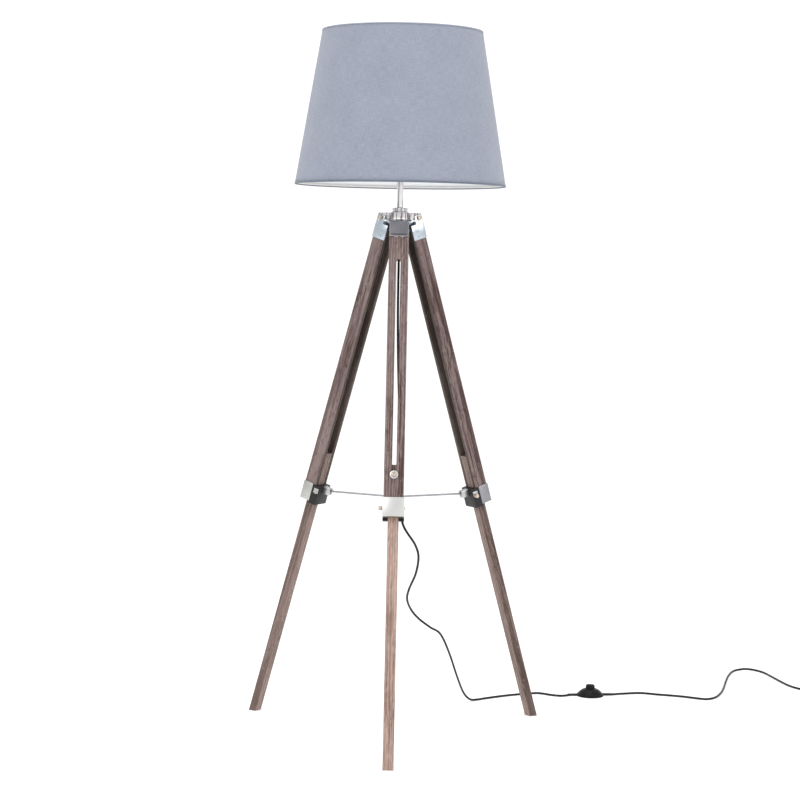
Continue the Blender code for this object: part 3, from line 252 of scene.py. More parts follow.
def new_group(name: str, inputs: dict[str, str], outputs: dict[str, str]) -> bpy.types.ShaderNodeTree:
    """Make an empty shader node group with its sockets.

    Args:
        name: the group's name.
        inputs: socket names and their types.
        outputs: socket names and their types.

    Returns:
        The group's tree, with its input and output nodes named "in" and "out".
    """
    tree = bpy.data.node_groups.new(name, "ShaderNodeTree")
    for key, kind in inputs.items():
        tree.interface.new_socket(key, in_out="INPUT", socket_type=f"NodeSocket{kind}")
    for key, kind in outputs.items():
        tree.interface.new_socket(key, in_out="OUTPUT", socket_type=f"NodeSocket{kind}")
    tree.nodes.new("NodeGroupInput").name = "in"
    tree.nodes.new("NodeGroupOutput").name = "out"
    return tree


def wear_group() -> bpy.types.ShaderNodeTree:
    """Edge wear, smudges and dust: masks from a position and a piece's worn edges."""
    tree = new_group("Wear", {"Position": "Vector", "Edge": "Float"},
                     {"Worn": "Float", "Smudge": "Float", "Dust": "Float"})
    s = Shader(tree)
    source, out = tree.nodes["in"].outputs, tree.nodes["out"].inputs
    chips = s.noise(source["Position"], 420.0, 5.0, 0.7)
    s.feed(out["Worn"], s.ramp(s.times(source["Edge"], s.plus(chips, 0.25)), 0.42, 0.78))
    s.feed(out["Smudge"], s.ramp(s.noise(source["Position"], 38.0, 3.0), 0.38, 0.70))
    s.feed(out["Dust"], s.ramp(s.noise(source["Position"], 900.0, 2.0, 0.8), 0.60, 0.80))
    return tree


def scratch_group() -> bpy.types.ShaderNodeTree:
    """Fine drawn scratches on plated metal, as a height and a mask."""
    tree = new_group("Scratches", {"Position": "Vector"}, {"Height": "Float", "Mask": "Float"})
    s = Shader(tree)
    source, out = tree.nodes["in"].outputs, tree.nodes["out"].inputs
    across = s.noise(s.stretch(source["Position"], (60.0, 60.0, 2600.0)), 1.0, 3.0, 0.6)
    along = s.noise(s.stretch(source["Position"], (2200.0, 2200.0, 70.0)), 1.0, 3.0, 0.6)
    s.feed(out["Height"], s.plus(s.times(across, 0.5), s.times(along, 0.5)))
    s.feed(out["Mask"], s.ramp(along, 0.62, 0.74))
    return tree


def grain_group() -> bpy.types.ShaderNodeTree:
    """Weathered open grain along Z: streaks, pores, cathedral bands and sun-bleached patches."""
    tree = new_group("WoodGrain", {"Position": "Vector"},
                     {"Streak": "Float", "Pore": "Float", "Patch": "Float", "Height": "Float"})
    s = Shader(tree)
    source, out = tree.nodes["in"].outputs, tree.nodes["out"].inputs
    place = source["Position"]
    sway = s.noise(s.stretch(place, (14.0, 14.0, 7.0)), 1.0, 3.0)
    bent = s.node("VectorMath", operation="ADD")
    s.feed(bent.inputs[0], s.stretch(place, (240.0, 240.0, 13.0)))
    s.feed(bent.inputs[1], s.times(sway, 14.0))
    streak = s.noise(bent.outputs[0], 1.0, 6.0, 0.62)
    fine = s.noise(s.stretch(place, (900.0, 900.0, 60.0)), 1.0, 4.0, 0.65)
    pore = s.ramp(s.noise(s.stretch(place, (1500.0, 1500.0, 45.0)), 1.0, 2.0, 0.5), 0.60, 0.72)
    rings = s.node("TexWave", wave_type="BANDS", bands_direction="X")
    s.feed(rings.inputs["Vector"], s.stretch(place, (1.0, 1.0, 0.035)))
    rings.inputs["Scale"].default_value = 55.0
    rings.inputs["Distortion"].default_value = 7.0
    rings.inputs["Detail"].default_value = 3.0
    rings.inputs["Detail Scale"].default_value = 2.0
    mixed = s.plus(s.times(streak, 0.62), s.times(rings.outputs["Fac"], 0.16))
    mixed = s.plus(mixed, s.times(fine, 0.22))
    s.feed(out["Streak"], s.ramp(mixed, 0.40, 0.62))
    s.feed(out["Pore"], pore)
    s.feed(out["Patch"], s.ramp(s.noise(s.stretch(place, (22.0, 22.0, 5.0)), 1.0, 4.0, 0.6), 0.36, 0.66))
    s.feed(out["Height"], s.math("SUBTRACT", s.plus(mixed, fine), s.times(pore, 0.8)))
    return tree


def weave_group() -> bpy.types.ShaderNodeTree:
    """A plain weave from a UV map in metres: thread heights, slubs and a faint unevenness."""
    tree = new_group("PlainWeave", {"UV": "Vector", "Threads": "Float"},
                     {"Height": "Float", "Slub": "Float", "Shade": "Float"})
    s = Shader(tree)
    source, out = tree.nodes["in"].outputs, tree.nodes["out"].inputs
    parts = s.node("SeparateXYZ")
    s.feed(parts.inputs[0], source["UV"])
    turns = s.times(source["Threads"], math.pi)
    u = s.times(parts.outputs["X"], turns)
    v = s.times(parts.outputs["Y"], turns)
    warp = s.math("ABSOLUTE", s.math("SINE", u))
    weft = s.math("ABSOLUTE", s.math("SINE", v))
    over = s.math("GREATER_THAN", s.times(s.math("SINE", u), s.math("SINE", v)), 0.0)
    height = s.node("Mix", data_type="FLOAT")
    s.feed(height.inputs["Factor"], over)
    s.feed(height.inputs["A"], warp)
    s.feed(height.inputs["B"], weft)
    upright = s.noise(s.stretch(source["UV"], (1500.0, 55.0, 1.0)), 1.0, 4.0, 0.6)
    level = s.noise(s.stretch(source["UV"], (55.0, 1500.0, 1.0)), 1.0, 4.0, 0.6)
    slub = s.plus(s.times(upright, 0.5), s.times(level, 0.5))
    s.feed(out["Height"], s.plus(height.outputs["Result"], s.times(slub, 1.5)))
    s.feed(out["Slub"], s.ramp(slub, 0.38, 0.62))
    s.feed(out["Shade"], s.noise(source["UV"], 14.0, 3.0))
    return tree


@dataclass
class Paintbox:
    """Makes each finish's material, once for each orientation that it is needed in."""

    groups: dict[str, bpy.types.ShaderNodeTree] = field(default_factory=dict)
    made: dict[str, bpy.types.Material] = field(default_factory=dict)

    def __post_init__(self) -> None:
        """Build the shared node groups."""
        self.groups = {"wear": wear_group(), "scratch": scratch_group(), "grain": grain_group(),
                       "weave": weave_group()}

    def use(self, s: Shader, name: str, **inputs) -> bpy.types.NodeSocket:
        """Add a group node, feed it and return its outputs."""
        made = s.node("Group")
        made.node_tree = self.groups[name]
        for key, value in inputs.items():
            s.feed(made.inputs[key], value)
        return made.outputs

    def worn(self, s: Shader, place) -> bpy.types.NodeSocket:
        """Return the masks of wear, smudges and dust at a position."""
        edge = s.node("Attribute", attribute_name="wear").outputs["Fac"]
        return self.use(s, "wear", Position=place, Edge=edge)

    def material(self, finish: Finish, turn: Matrix = IDENTITY, tag: str = "") -> bpy.types.Material:
        """Return a finish's material.

        Args:
            finish: the finish.
            turn: the frame that its grain follows.
            tag: a word that keeps frames apart in the material's name.

        Returns:
            The material, made on first use.
        """
        name = f"{finish.name}_{tag}" if tag else finish.name
        if name in self.made:
            return self.made[name]
        mat = bpy.data.materials.new(name)
        mat.use_nodes = True
        mat.diffuse_color = rgba(finish.colour)
        s = Shader(mat.node_tree)
        skin = mat.node_tree.nodes["Principled BSDF"]
        spot = s.node("Mapping", vector_type="POINT")
        s.feed(spot.inputs["Vector"], s.node("TexCoord").outputs["Object"])
        spot.inputs["Rotation"].default_value = turn.to_3x3().inverted().to_euler("XYZ")
        place = spot.outputs["Vector"]
        painters = {Surface.METAL: self.metal, Surface.MOULDED: self.moulded, Surface.WOOD: self.wood,
                    Surface.FABRIC: self.fabric, Surface.GLASS: self.glass}
        painters[finish.surface](s, skin, finish, place)
        self.made[name] = mat
        return mat

    def relief(self, s: Shader, skin: bpy.types.Node, height, depth: float) -> None:
        """Drive a shader's normal from a height, with its depth in metres."""
        bump = s.node("Bump")
        bump.inputs["Strength"].default_value = 1.0
        bump.inputs["Distance"].default_value = depth
        s.feed(bump.inputs["Height"], height)
        s.feed(skin.inputs["Normal"], bump.outputs["Normal"])

    def metal(self, s: Shader, skin: bpy.types.Node, finish: Finish, place) -> None:
        """Plated metal: drawn scratches, fingerprints and dulled edges, with painted shade at grazing angles and
        painted reflection bands.
        """
        wear = self.worn(s, place)
        marks = self.use(s, "scratch", Position=place)
        dull = s.plus(s.times(wear["Smudge"], 0.35), s.times(marks["Mask"], 0.30))
        colour = s.mix(s.times(dull, 0.55), rgba(finish.colour), rgba(finish.second))
        lifted = tuple(min(1.0, c * 1.35 + 0.05) for c in finish.colour)
        colour = s.mix(s.times(wear["Worn"], 0.8), colour, rgba(lifted))
        # Painted shade: the base colour darkens towards grazing angles, standing in for the room's reflection.
        turned = s.node("LayerWeight")
        turned.inputs["Blend"].default_value = 0.5
        grazing_shade = s.times(s.ramp(turned.outputs["Facing"], 0.55, 0.98), 0.75)
        dark = rgba(tuple(c * 0.45 for c in finish.second))
        # Painted reflection: upright dark bands in the base colour where polished metal would mirror the room.
        if finish.bands:
            upright = s.noise(s.stretch(place, (260.0, 260.0, 9.0)), 1.0, 1.0, 0.4)
            colour = s.mix(s.times(s.ramp(upright, 0.50, 0.57), finish.bands), colour, dark)
        s.feed(skin.inputs["Base Color"], s.mix(grazing_shade, colour, dark))
        skin.inputs["Metallic"].default_value = 1.0
        rough = s.plus(finish.roughness, s.times(wear["Smudge"], 0.12))
        s.feed(skin.inputs["Roughness"], s.plus(rough, s.times(wear["Dust"], 0.10)))
        self.relief(s, skin, marks["Height"], finish.bump)

    def moulded(self, s: Shader, skin: bpy.types.Node, finish: Finish, place) -> None:
        """Moulded plastic, rubber or paint: fine orange peel, dust and rubbed edges."""
        wear = self.worn(s, place)
        share = s.plus(s.times(wear["Dust"], 0.35), s.times(wear["Worn"], 0.6))
        share = s.plus(share, s.times(wear["Smudge"], 0.15))
        s.feed(skin.inputs["Base Color"], s.mix(share, rgba(finish.colour), rgba(finish.second)))
        s.feed(skin.inputs["Roughness"], s.plus(finish.roughness, s.times(wear["Smudge"], 0.14)))
        skin.inputs["Specular IOR Level"].default_value = finish.shine
        skin.inputs["Coat Weight"].default_value = finish.coat
        skin.inputs["Coat Roughness"].default_value = 0.12
        self.relief(s, skin, s.noise(place, 1400.0, 3.0), finish.bump)

    def wood(self, s: Shader, skin: bpy.types.Node, finish: Finish, place) -> None:
        """Weathered wood: grey patches over brown streaks, dark pores and rubbed edges worn to paler wood."""
        grain = self.use(s, "grain", Position=place)
        wear = self.worn(s, place)
        colour = s.mix(grain["Streak"], rgba(finish.second), rgba(finish.colour))
        bleached = tuple(min(1.0, c * 1.45 + 0.02) for c in finish.colour)
        colour = s.mix(s.times(grain["Patch"], 0.32), colour, rgba(bleached))
        dark = tuple(c * 0.35 for c in finish.second)
        colour = s.mix(s.times(grain["Pore"], 0.75), colour, rgba(dark))
        bare_and_shaded = tuple(min(1.0, c * 1.9 + 0.03) for c in finish.colour)
        colour = s.mix(s.times(wear["Worn"], 0.75), colour, rgba(bare_and_shaded))
        s.feed(skin.inputs["Base Color"], colour)
        s.feed(skin.inputs["Roughness"], s.math("SUBTRACT", finish.roughness + 0.1,
                                                s.times(grain["Streak"], 0.18)))
        skin.inputs["Specular IOR Level"].default_value = 0.35
        self.relief(s, skin, grain["Height"], finish.bump)

    def fabric(self, s: Shader, skin: bpy.types.Node, finish: Finish, place) -> None:
        """Woven cloth from its UV map in metres: threads, slubs and a soft sheen."""
        uv = s.node("UVMap", uv_map="cloth").outputs["UV"]
        weave = self.use(s, "weave", UV=uv, Threads=1150.0)
        colour = s.mix(weave["Slub"], rgba(finish.second), rgba(finish.colour))
        light = tuple(min(1.0, c * 1.22) for c in finish.colour)
        colour = s.mix(s.times(weave["Shade"], 0.4), colour, rgba(light))
        s.feed(skin.inputs["Base Color"], colour)
        skin.inputs["Roughness"].default_value = finish.roughness
        skin.inputs["Specular IOR Level"].default_value = 0.25
        skin.inputs["Sheen Weight"].default_value = 0.25
        skin.inputs["Sheen Roughness"].default_value = 0.45
        self.relief(s, skin, weave["Height"], finish.bump)

    def glass(self, s: Shader, skin: bpy.types.Node, finish: Finish, place) -> None:
        """Opal glass: milky, lightly clouded and glossy."""
        cloud = s.noise(place, 60.0, 2.0)
        s.feed(skin.inputs["Base Color"], s.mix(cloud, rgba(finish.colour), rgba(finish.second)))
        skin.inputs["Roughness"].default_value = finish.roughness
        skin.inputs["Subsurface Weight"].default_value = 0.3
        skin.inputs["Subsurface Radius"].default_value = (0.01, 0.01, 0.008)
        skin.inputs["Coat Weight"].default_value = 0.5


HINGE_RADIUS = 0.0362
HINGE_Z = 1.1070
LEAN_DEG = 16.97
LEG_TURNS = {"front": 0.0, "right": 120.0, "left": -120.0}
AXIS = sum(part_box("pole"), Vector()) / 2
STAND = Matrix.Translation((AXIS.x, AXIS.y, 0))
COIL_AT = (1.0650, 0.4450)
COIL_RADII = (0.0315, 0.0263)
COIL_LAYERS = (0.0029, 0.0079)


def leg_matrix(side: str) -> Matrix:
    """Return the frame of a leg: its origin on the hinge, Y towards the lamp's axis."""
    spin = Matrix.Rotation(math.radians(LEG_TURNS[side]), 4, "Z")
    hinge = Matrix.Translation((0, -HINGE_RADIUS, HINGE_Z))
    return STAND @ spin @ hinge @ Matrix.Rotation(-math.radians(LEAN_DEG), 4, "X")


def lathe(outline: list[Point], steps: int = 64, place: Matrix = IDENTITY,
          closed: bool = False) -> bmesh.types.BMesh:
    """Spin an outline of (radius, height) points about Z.

    Args:
        outline: the section, from the bottom of its outside to the top.
        steps: how many facets go round.
        place: where the turned shape then goes.
        closed: whether the section is a closed loop that doesn't touch the axis.

    Returns:
        The closed shape.
    """
    shape = bmesh.new()
    verts = [shape.verts.new((radius, 0, height)) for radius, height in outline]
    edges = [shape.edges.new(pair) for pair in zip(verts, verts[1:])]
    if closed:
        edges.append(shape.edges.new((verts[-1], verts[0])))
    bmesh.ops.spin(shape, geom=[*verts, *edges], axis=(0, 0, 1), cent=(0, 0, 0), angle=2 * math.pi,
                   steps=steps, use_merge=True, use_duplicate=False)
    bmesh.ops.remove_doubles(shape, verts=shape.verts, dist=1e-6)
    bmesh.ops.recalc_face_normals(shape, faces=shape.faces)
    bmesh.ops.transform(shape, matrix=place, verts=shape.verts)
    return shape


def block(size: tuple[float, float, float], centre: tuple[float, float, float],
          place: Matrix = IDENTITY) -> bmesh.types.BMesh:
    """Return a box of a size about a centre, before its edges are eased."""
    shape = bmesh.new()
    matrix = place @ Matrix.Translation(centre) @ Matrix.Diagonal((*size, 1.0))
    bmesh.ops.create_cube(shape, size=1.0, matrix=matrix)
    return shape


def join(target: bmesh.types.BMesh, *others: bmesh.types.BMesh) -> bmesh.types.BMesh:
    """Add other shapes into a target and free them."""
    for other in others:
        spare = bpy.data.meshes.new("spare")
        other.to_mesh(spare)
        other.free()
        target.from_mesh(spare)
        bpy.data.meshes.remove(spare)
    return target


def ease(shape: bmesh.types.BMesh, width: float, spread_deg: float = 35.0) -> bmesh.types.BMesh:
    """Round a shape's sharp edges, mark the rounded ones as worn and set its shading.

    Args:
        shape: the shape, changed in place.
        width: how far a rounded edge reaches over its faces.
        spread_deg: edges that turn more than this are rounded.

    Returns:
        The same shape.
    """
    limit = math.radians(spread_deg)
    sharp = [edge for edge in shape.edges if edge.is_manifold and edge.calc_face_angle() > limit]
    made = bmesh.ops.bevel(shape, geom=sharp, offset=width, offset_type="OFFSET", affect="EDGES", segments=2,
                           profile=0.5, material=-1, clamp_overlap=True)
    rounded = set(made["faces"])
    wear = shape.verts.layers.float.get("wear") or shape.verts.layers.float.new("wear")
    for vert in shape.verts:
        if vert.link_faces and all(face in rounded for face in vert.link_faces):
            vert[wear] = 1.0
    for face in shape.faces:
        turns = [edge.calc_face_angle() for edge in face.edges if edge.is_manifold]
        face.smooth = face in rounded or any(math.radians(1) < turn < limit for turn in turns)
    for edge in shape.edges:
        edge.smooth = not (edge.is_manifold and edge.calc_face_angle() > limit)
    return shape


def copy_of(node: str) -> bmesh.types.BMesh:
    """Return a CAD node's solid with its loose triangles merged into flat faces."""
    shape = bmesh.new()
    shape.from_mesh(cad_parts[node].data)
    bmesh.ops.remove_doubles(shape, verts=shape.verts, dist=1e-6)
    bmesh.ops.dissolve_limit(shape, angle_limit=math.radians(0.5), verts=shape.verts, edges=shape.edges)
    return shape


def grip(radius: float, start: float, long: float, hole: float, ribs: int, place: Matrix) -> bmesh.types.BMesh:
    """Return a knurled round grip.

    Args:
        radius: its outer radius.
        start: where it starts along the axis.
        long: its length.
        hole: the radius of its hole, or 0.
        ribs: how many ribs go round.
        place: its placing.

    Returns:
        The grip, with a smooth collar at each end.
    """
    lip = long * 0.12
    outline = [(hole, start), (radius - lip, start), (radius, start + lip), (radius, start + long - lip),
               (radius - lip, start + long), (hole, start + long)]
    shape = lathe(outline, ribs * 2, IDENTITY, closed=hole > 0)
    band = [face for face in shape.faces
            if abs(face.normal.z) < 0.1 and face.calc_center_median().xy.length > radius * 0.9]
    bmesh.ops.inset_individual(shape, faces=band[::2], thickness=radius * 0.03, depth=-radius * 0.055)
    bmesh.ops.transform(shape, matrix=place, verts=shape.verts)
    return ease(shape, 0.00025, 50)


def smooth_curve(points: list[Vector], steps: int) -> list[Vector]:
    """Return points on a Catmull-Rom curve through every given point."""
    ends = [points[0] * 2 - points[1], *points, points[-1] * 2 - points[-2]]
    curve = []
    for a, b, c, d in zip(ends, ends[1:], ends[2:], ends[3:]):
        for step in range(steps):
            t = step / steps
            curve.append((b * 2 + (c - a) * t + (a * 2 - b * 5 + c * 4 - d) * t * t
                          + (b * 3 - a - c * 3 + d) * t * t * t) / 2)
    return [*curve, points[-1]]


@dataclass
class Assembly:
    """A group of pieces made and dressed together.

    Args:
        paint: where its materials come from.
    """

    paint: Paintbox
    made: list[str] = field(default_factory=list, kw_only=True)

    def mat(self, finish: Finish, turn: Matrix = IDENTITY, tag: str = "") -> bpy.types.Material:
        """Return a finish's material, in a frame where its grain follows one."""
        return self.paint.material(finish, turn, tag)

    def put(self, name: str, shape: bmesh.types.BMesh, mats: list[bpy.types.Material], body: str,
            *nodes: str) -> bpy.types.Object:
        """Turn a shape into a piece of the lamp.

        Args:
            name: the piece's name.
            shape: the finished shape, freed here.
            mats: its materials, by face index.
            body: the body that it rides on, or "" for one that rides on none here.
            nodes: the CAD nodes that it stands for.

        Returns:
            The piece.
        """
        mesh = bpy.data.meshes.new(name)
        shape.to_mesh(mesh)
        shape.free()
        obj = bpy.data.objects.new(name, mesh)
        bpy.context.collection.objects.link(obj)
        for mat in mats:
            mesh.materials.append(mat)
        if body:
            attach(obj, body)
        if nodes:
            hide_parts(*nodes)
        self.made.append(name)
        return obj

    def recut(self, node: str, width: float, mat: bpy.types.Material, body: str,
              *extras: bmesh.types.BMesh) -> bpy.types.Object:
        """Stand a finely finished copy in for a CAD node, with eased edges and extra details on it."""
        shape = join(ease(copy_of(node), width), *extras)
        return self.put(f"{node}_finished", shape, [mat], body, node)


@dataclass
class Leg(Assembly):
    """One telescoping leg with its bracket, collar, clamp, bolts and spreader rod.

    Args:
        side: which leg it is.
        bracket: the material of its top bracket; on the front leg a darker grey copy of the chrome, a painted
            reflection.
        collar: the material of its collar; the three legs' collars are copies of one metal in different tones, painted
            light and shade.
    """

    side: str
    bracket: Finish
    collar: Finish
    wood_round: float = 0.0011
    half_width: float = 0.0206
    rail: float = 0.0088
    floor_deep: float = 0.0020
    outside: float = 0.0050
    sheet: float = 0.0016
    bracket_end: float = 0.0451
    bearing: float = 0.0209
    nut_radius: float = 0.0058
    nut_thick: float = 0.0038
    head_radius: float = 0.0052
    head_thick: float = 0.0030
    bolt_radius: float = 0.0030
    collar_down: float = 0.6234
    screw_down: float = 0.6204
    screw_depth: float = -0.02955
    knob_start: float = -0.0226
    knob_radius: float = 0.0046
    knob_long: float = 0.0085
    slot_bolt_down: float = 0.5564

    def build(self) -> None:
        """Make every piece of the leg."""
        self.place = leg_matrix(self.side)
        self.wood()
        self.ironwork()
        self.fasteners()
        self.spreader()

    def along(self, x: float, depth: float, down: float) -> Matrix:
        """Return the placing that lays a turned shape along the hinge."""
        return self.place @ Matrix.Translation((x, -depth, -down)) @ Matrix.Rotation(math.pi / 2, 4, "Y")

    def outward(self, x: float, depth: float, down: float) -> Matrix:
        """Return the placing that points a turned shape's Z out of the leg's outer face."""
        return self.place @ Matrix.Translation((x, -depth, -down)) @ Matrix.Rotation(math.pi / 2, 4, "X")

    def wood(self) -> None:
        """The grooved upper leg and the bar that slides in it, with painted light and shade on their inward faces."""
        upper = self.mat(UPPER, self.place, self.side)
        bare_and_shaded = self.mat(BARE_AND_SHADED, self.place, self.side)
        # The side legs' bars take a darker copy of the same wood: painted shade.
        lower = self.mat(LOWER if self.side == "front" else SHADED, self.place, self.side)
        pale = self.mat(PALE, self.place, self.side)
        back = self.place.inverted()
        for node, mats, body in ((f"upper_leg_{self.side}", [upper, bare_and_shaded], f"leg_{self.side}"),
                                 (f"lower_leg_{self.side}", [lower, pale], f"lower_{self.side}")):
            shape = copy_of(node)
            ease(shape, self.wood_round)
            turned = back.to_3x3()
            for face in shape.faces:
                # Inward faces, and the upper leg's channel, take the second material: painted shade on the upper legs,
                # painted light and shade on the bars.
                spot = back @ face.calc_center_median()
                channel = abs(spot.x) < self.half_width - self.rail and spot.y > self.floor_deep - self.outside
                if (turned @ face.normal).y > 0.9 or (channel and mats[0] is upper):
                    face.material_index = 1
            self.put(f"{node}_finished", shape, mats, body, node)

    def ironwork(self) -> None:
        """The bracket with its small screws, and the collar with its rivets and block."""
        side, body = self.side, f"leg_{self.side}"
        plated = self.mat(self.bracket)
        heads = []
        for down in (0.0262, 0.0384):
            for sign in (-1, 1):
                spot = self.along(sign * self.half_width, -0.0115, down)
                heads.append(self.screw_head(spot if sign > 0 else spot @ Matrix.Rotation(math.pi, 4, "Y"), 0.0022))
        shape = join(ease(copy_of(f"top_bracket_{side}"), 0.0004), *heads, *self.lip())
        self.put(f"top_bracket_{side}_finished", shape,
                 [plated, self.mat(DIM_STEEL), self.mat(BLACK)], body, f"top_bracket_{side}")
        rivets = []
        for sign in (-1, 1):
            for down in (-0.0125, 0.0125):
                spot = self.along(sign * (self.half_width + 0.0017), -0.0040, self.collar_down + down)
                turn = spot if sign > 0 else spot @ Matrix.Rotation(math.pi, 4, "Y")
                rivets.append(ease(lathe([(0.0019, -0.0002), (0.0017, 0.0005), (0.0009, 0.0009), (0, 0.0010)],
                                         20, turn), 0.0001, 60))
        self.recut(f"collar_{side}", 0.0005, self.mat(self.collar), body, *rivets)
        high = -self.screw_down + 0.0042
        plates = [ease(block((0.00025, 0.0118, 0.0105), (sign * 0.02233, 0.0286, high), self.place), 0.0001)
                  for sign in (-1, 1)]
        for plate in plates:
            for face in plate.faces:
                face.material_index = 1
        shape = join(ease(copy_of(f"clamp_block_{side}"), 0.0007), *plates)
        self.put(f"clamp_block_{side}_finished", shape, [self.mat(BLACK), self.mat(STEEL)],
                 body, f"clamp_block_{side}")
        self.recut(f"rod_lug_{side}", 0.0007, self.mat(STEEL), body)

    def lip(self) -> list[bmesh.types.BMesh]:
        """Return the bracket's folded foot: a bright rolled lip with a black strip above it as a painted shadow line,
        and its side beads.
        """
        face = self.outside + 0.0003 + self.sheet
        wide = 2 * self.half_width
        bead = ease(block((wide - 0.0030, 0.0008, 0.0034), (0, -face - 0.0001, 0.0018 - self.bracket_end), self.place),
                    0.0003)
        # Painted shadow: a black strip standing in for the shade in the gap above the lip.
        seam = block((wide - 0.0070, 0.0004, 0.0022), (0, -face, 0.0047 - self.bracket_end), self.place)
        parts = [bead, ease(seam, 0.0001)]
        for sign in (-1, 1):
            spot = (sign * (self.half_width - 0.0012), -face, -0.0270)
            parts.append(ease(block((0.0022, 0.0006, 0.0300), spot, self.place), 0.0002))
        for index, shape in enumerate(parts):
            for surface in shape.faces:
                surface.material_index = 2 if index == 1 else 1
        return parts

    def screw_head(self, place: Matrix, radius: float) -> bmesh.types.BMesh:
        """Return a small domed screw head with a cross recess."""
        dome = lathe([(radius, -0.0002), (radius, 0.0003), (radius * 0.75, 0.0009), (radius * 0.32, 0.0012),
                      (radius * 0.30, 0.0005), (0, 0.0004)], 20, place)
        return ease(dome, 0.0001, 50)

    def fasteners(self) -> None:
        """The hinge bolt and nut, the clamp's thumbscrew and the slot bolt on its washer."""
        side = self.side
        brass, satin = self.mat(BRASS), self.mat(SATIN)
        axis = self.along(0, 0, 0)
        head, tip = -self.bearing - self.head_thick, self.bearing + self.nut_thick + 0.0003
        bolt = lathe([(0, head + 0.0016), (0.0026, head + 0.0014), (0.0028, head), (self.head_radius - 0.0008, head),
                      (self.head_radius, head + 0.0009), (self.head_radius, -self.bearing),
                      (self.bolt_radius, -self.bearing), (self.bolt_radius, tip - 0.0005),
                      (self.bolt_radius - 0.0005, tip), (0, tip)], 36, axis)
        self.put(f"hinge_bolt_{side}_finished", ease(bolt, 0.0002, 50), [brass], "head", f"hinge_bolt_{side}")
        hole, start, end = self.bolt_radius + 0.0003, self.bearing, self.bearing + self.nut_thick
        nut = lathe([(hole, start), (self.nut_radius - 0.0007, start), (self.nut_radius, start + 0.0006),
                     (self.nut_radius, end - 0.0006), (self.nut_radius - 0.0007, end), (hole, end)], 6, axis, True)
        self.put(f"hinge_nut_{side}_finished", ease(nut, 0.0002), [brass], f"nut_{side}", f"hinge_nut_{side}")
        across = self.along(0, self.screw_depth, self.screw_down)
        knob = grip(self.knob_radius, self.knob_start - self.knob_long, self.knob_long, 0, 16, across)
        end = -self.knob_start + 0.0022
        stem = lathe([(0, self.knob_start - 0.0010), (0.0025, self.knob_start - 0.0010), (0.0025, end - 0.0006),
                      (0.0019, end), (0, end)], 24, across)
        self.put(f"collar_screw_{side}_finished", join(knob, ease(stem, 0.0001, 50)), [brass], f"screw_{side}",
                 f"collar_screw_{side}")
        out = self.outward(0, 0, self.slot_bolt_down)
        seat = self.outside + 0.0003
        hole, rim, top = 0.0033, 0.0085, seat + 0.0016
        washer = lathe([(hole, seat), (rim, seat), (rim, top), (hole, top)], 40, out, True)
        self.put(f"slot_washer_{side}_finished", ease(washer, 0.0003), [satin], f"lower_{side}", f"slot_washer_{side}")
        low, top = seat + 0.0019, seat + 0.0074
        cap = lathe([(0, -0.0175), (0.0030, -0.0175), (0.0030, low), (0.0048, low), (0.0048, top - 0.0008),
                     (0.0040, top), (0.0024, top), (0.0024, top - 0.0022), (0, top - 0.0024)], 32, out)
        self.put(f"slot_bolt_{side}_finished", ease(cap, 0.0002, 50), [brass], f"bolt_{side}", f"slot_bolt_{side}")

    def spreader(self) -> None:
        """The rod to the hub, with a rounded end in its lug."""
        spin = Matrix.Rotation(math.radians(LEG_TURNS[self.side]), 4, "Z")
        hub_z = sum(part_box("spreader_hub"), Vector()).z / 2
        lie = STAND @ spin @ Matrix.Translation((0, 0, hub_z)) @ Matrix.Rotation(math.pi / 2, 4, "X")
        start, end, thin, thick = 0.0149, 0.1707, 0.0019, 0.0023
        rod = lathe([(0, start), (thin, start), (thin, end - 0.0150), (thick, end - 0.0140),
                     (thick, end - 0.0010), (0.0012, end), (0, end)], 24, lie)
        self.put(f"spreader_rod_{self.side}_finished", ease(rod, 0.0003, 50), [self.mat(DIM_STEEL)],
                 f"rod_{self.side}", f"spreader_rod_{self.side}")


@dataclass
class Head(Assembly):
    """The hinge head, the nut and boss, the pole, the cord's gland and the spreader's hub."""

    def build(self) -> None:
        """Make every piece of the head."""
        polished, satin = self.mat(POLISHED), self.mat(SATIN)
        self.recut("head_plate", 0.0006, polished, "head")
        self.recut("head_boss", 0.0010, satin, "head")
        self.recut("head_nut", 0.0009, polished, "head")
        low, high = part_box("pole")
        radius = (high.x - low.x) / 2
        pole = lathe([(radius - 0.0010, low.z), (radius, low.z), (radius, high.z), (radius - 0.0010, high.z)],
                     48, STAND, True)
        self.put("pole_finished", ease(pole, 0.0002), [polished], "head", "pole")
        low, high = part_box("cord_gland")
        tall = high.z - low.z
        gland = lathe([(0.0028, low.z), (0.0042, low.z), (0.0046, low.z + tall * 0.25), (0.0042, low.z + tall * 0.30),
                       (0.0049, low.z + tall * 0.50), (0.0045, low.z + tall * 0.55), (0.0060, low.z + tall * 0.72),
                       (0.0060, high.z), (0.0028, high.z)], 40, STAND, True)
        self.put("cord_gland_finished", ease(gland, 0.0002), [self.mat(BLACK)], "head", "cord_gland")
        self.recut("spreader_hub", 0.0006, self.mat(STEEL), "head")


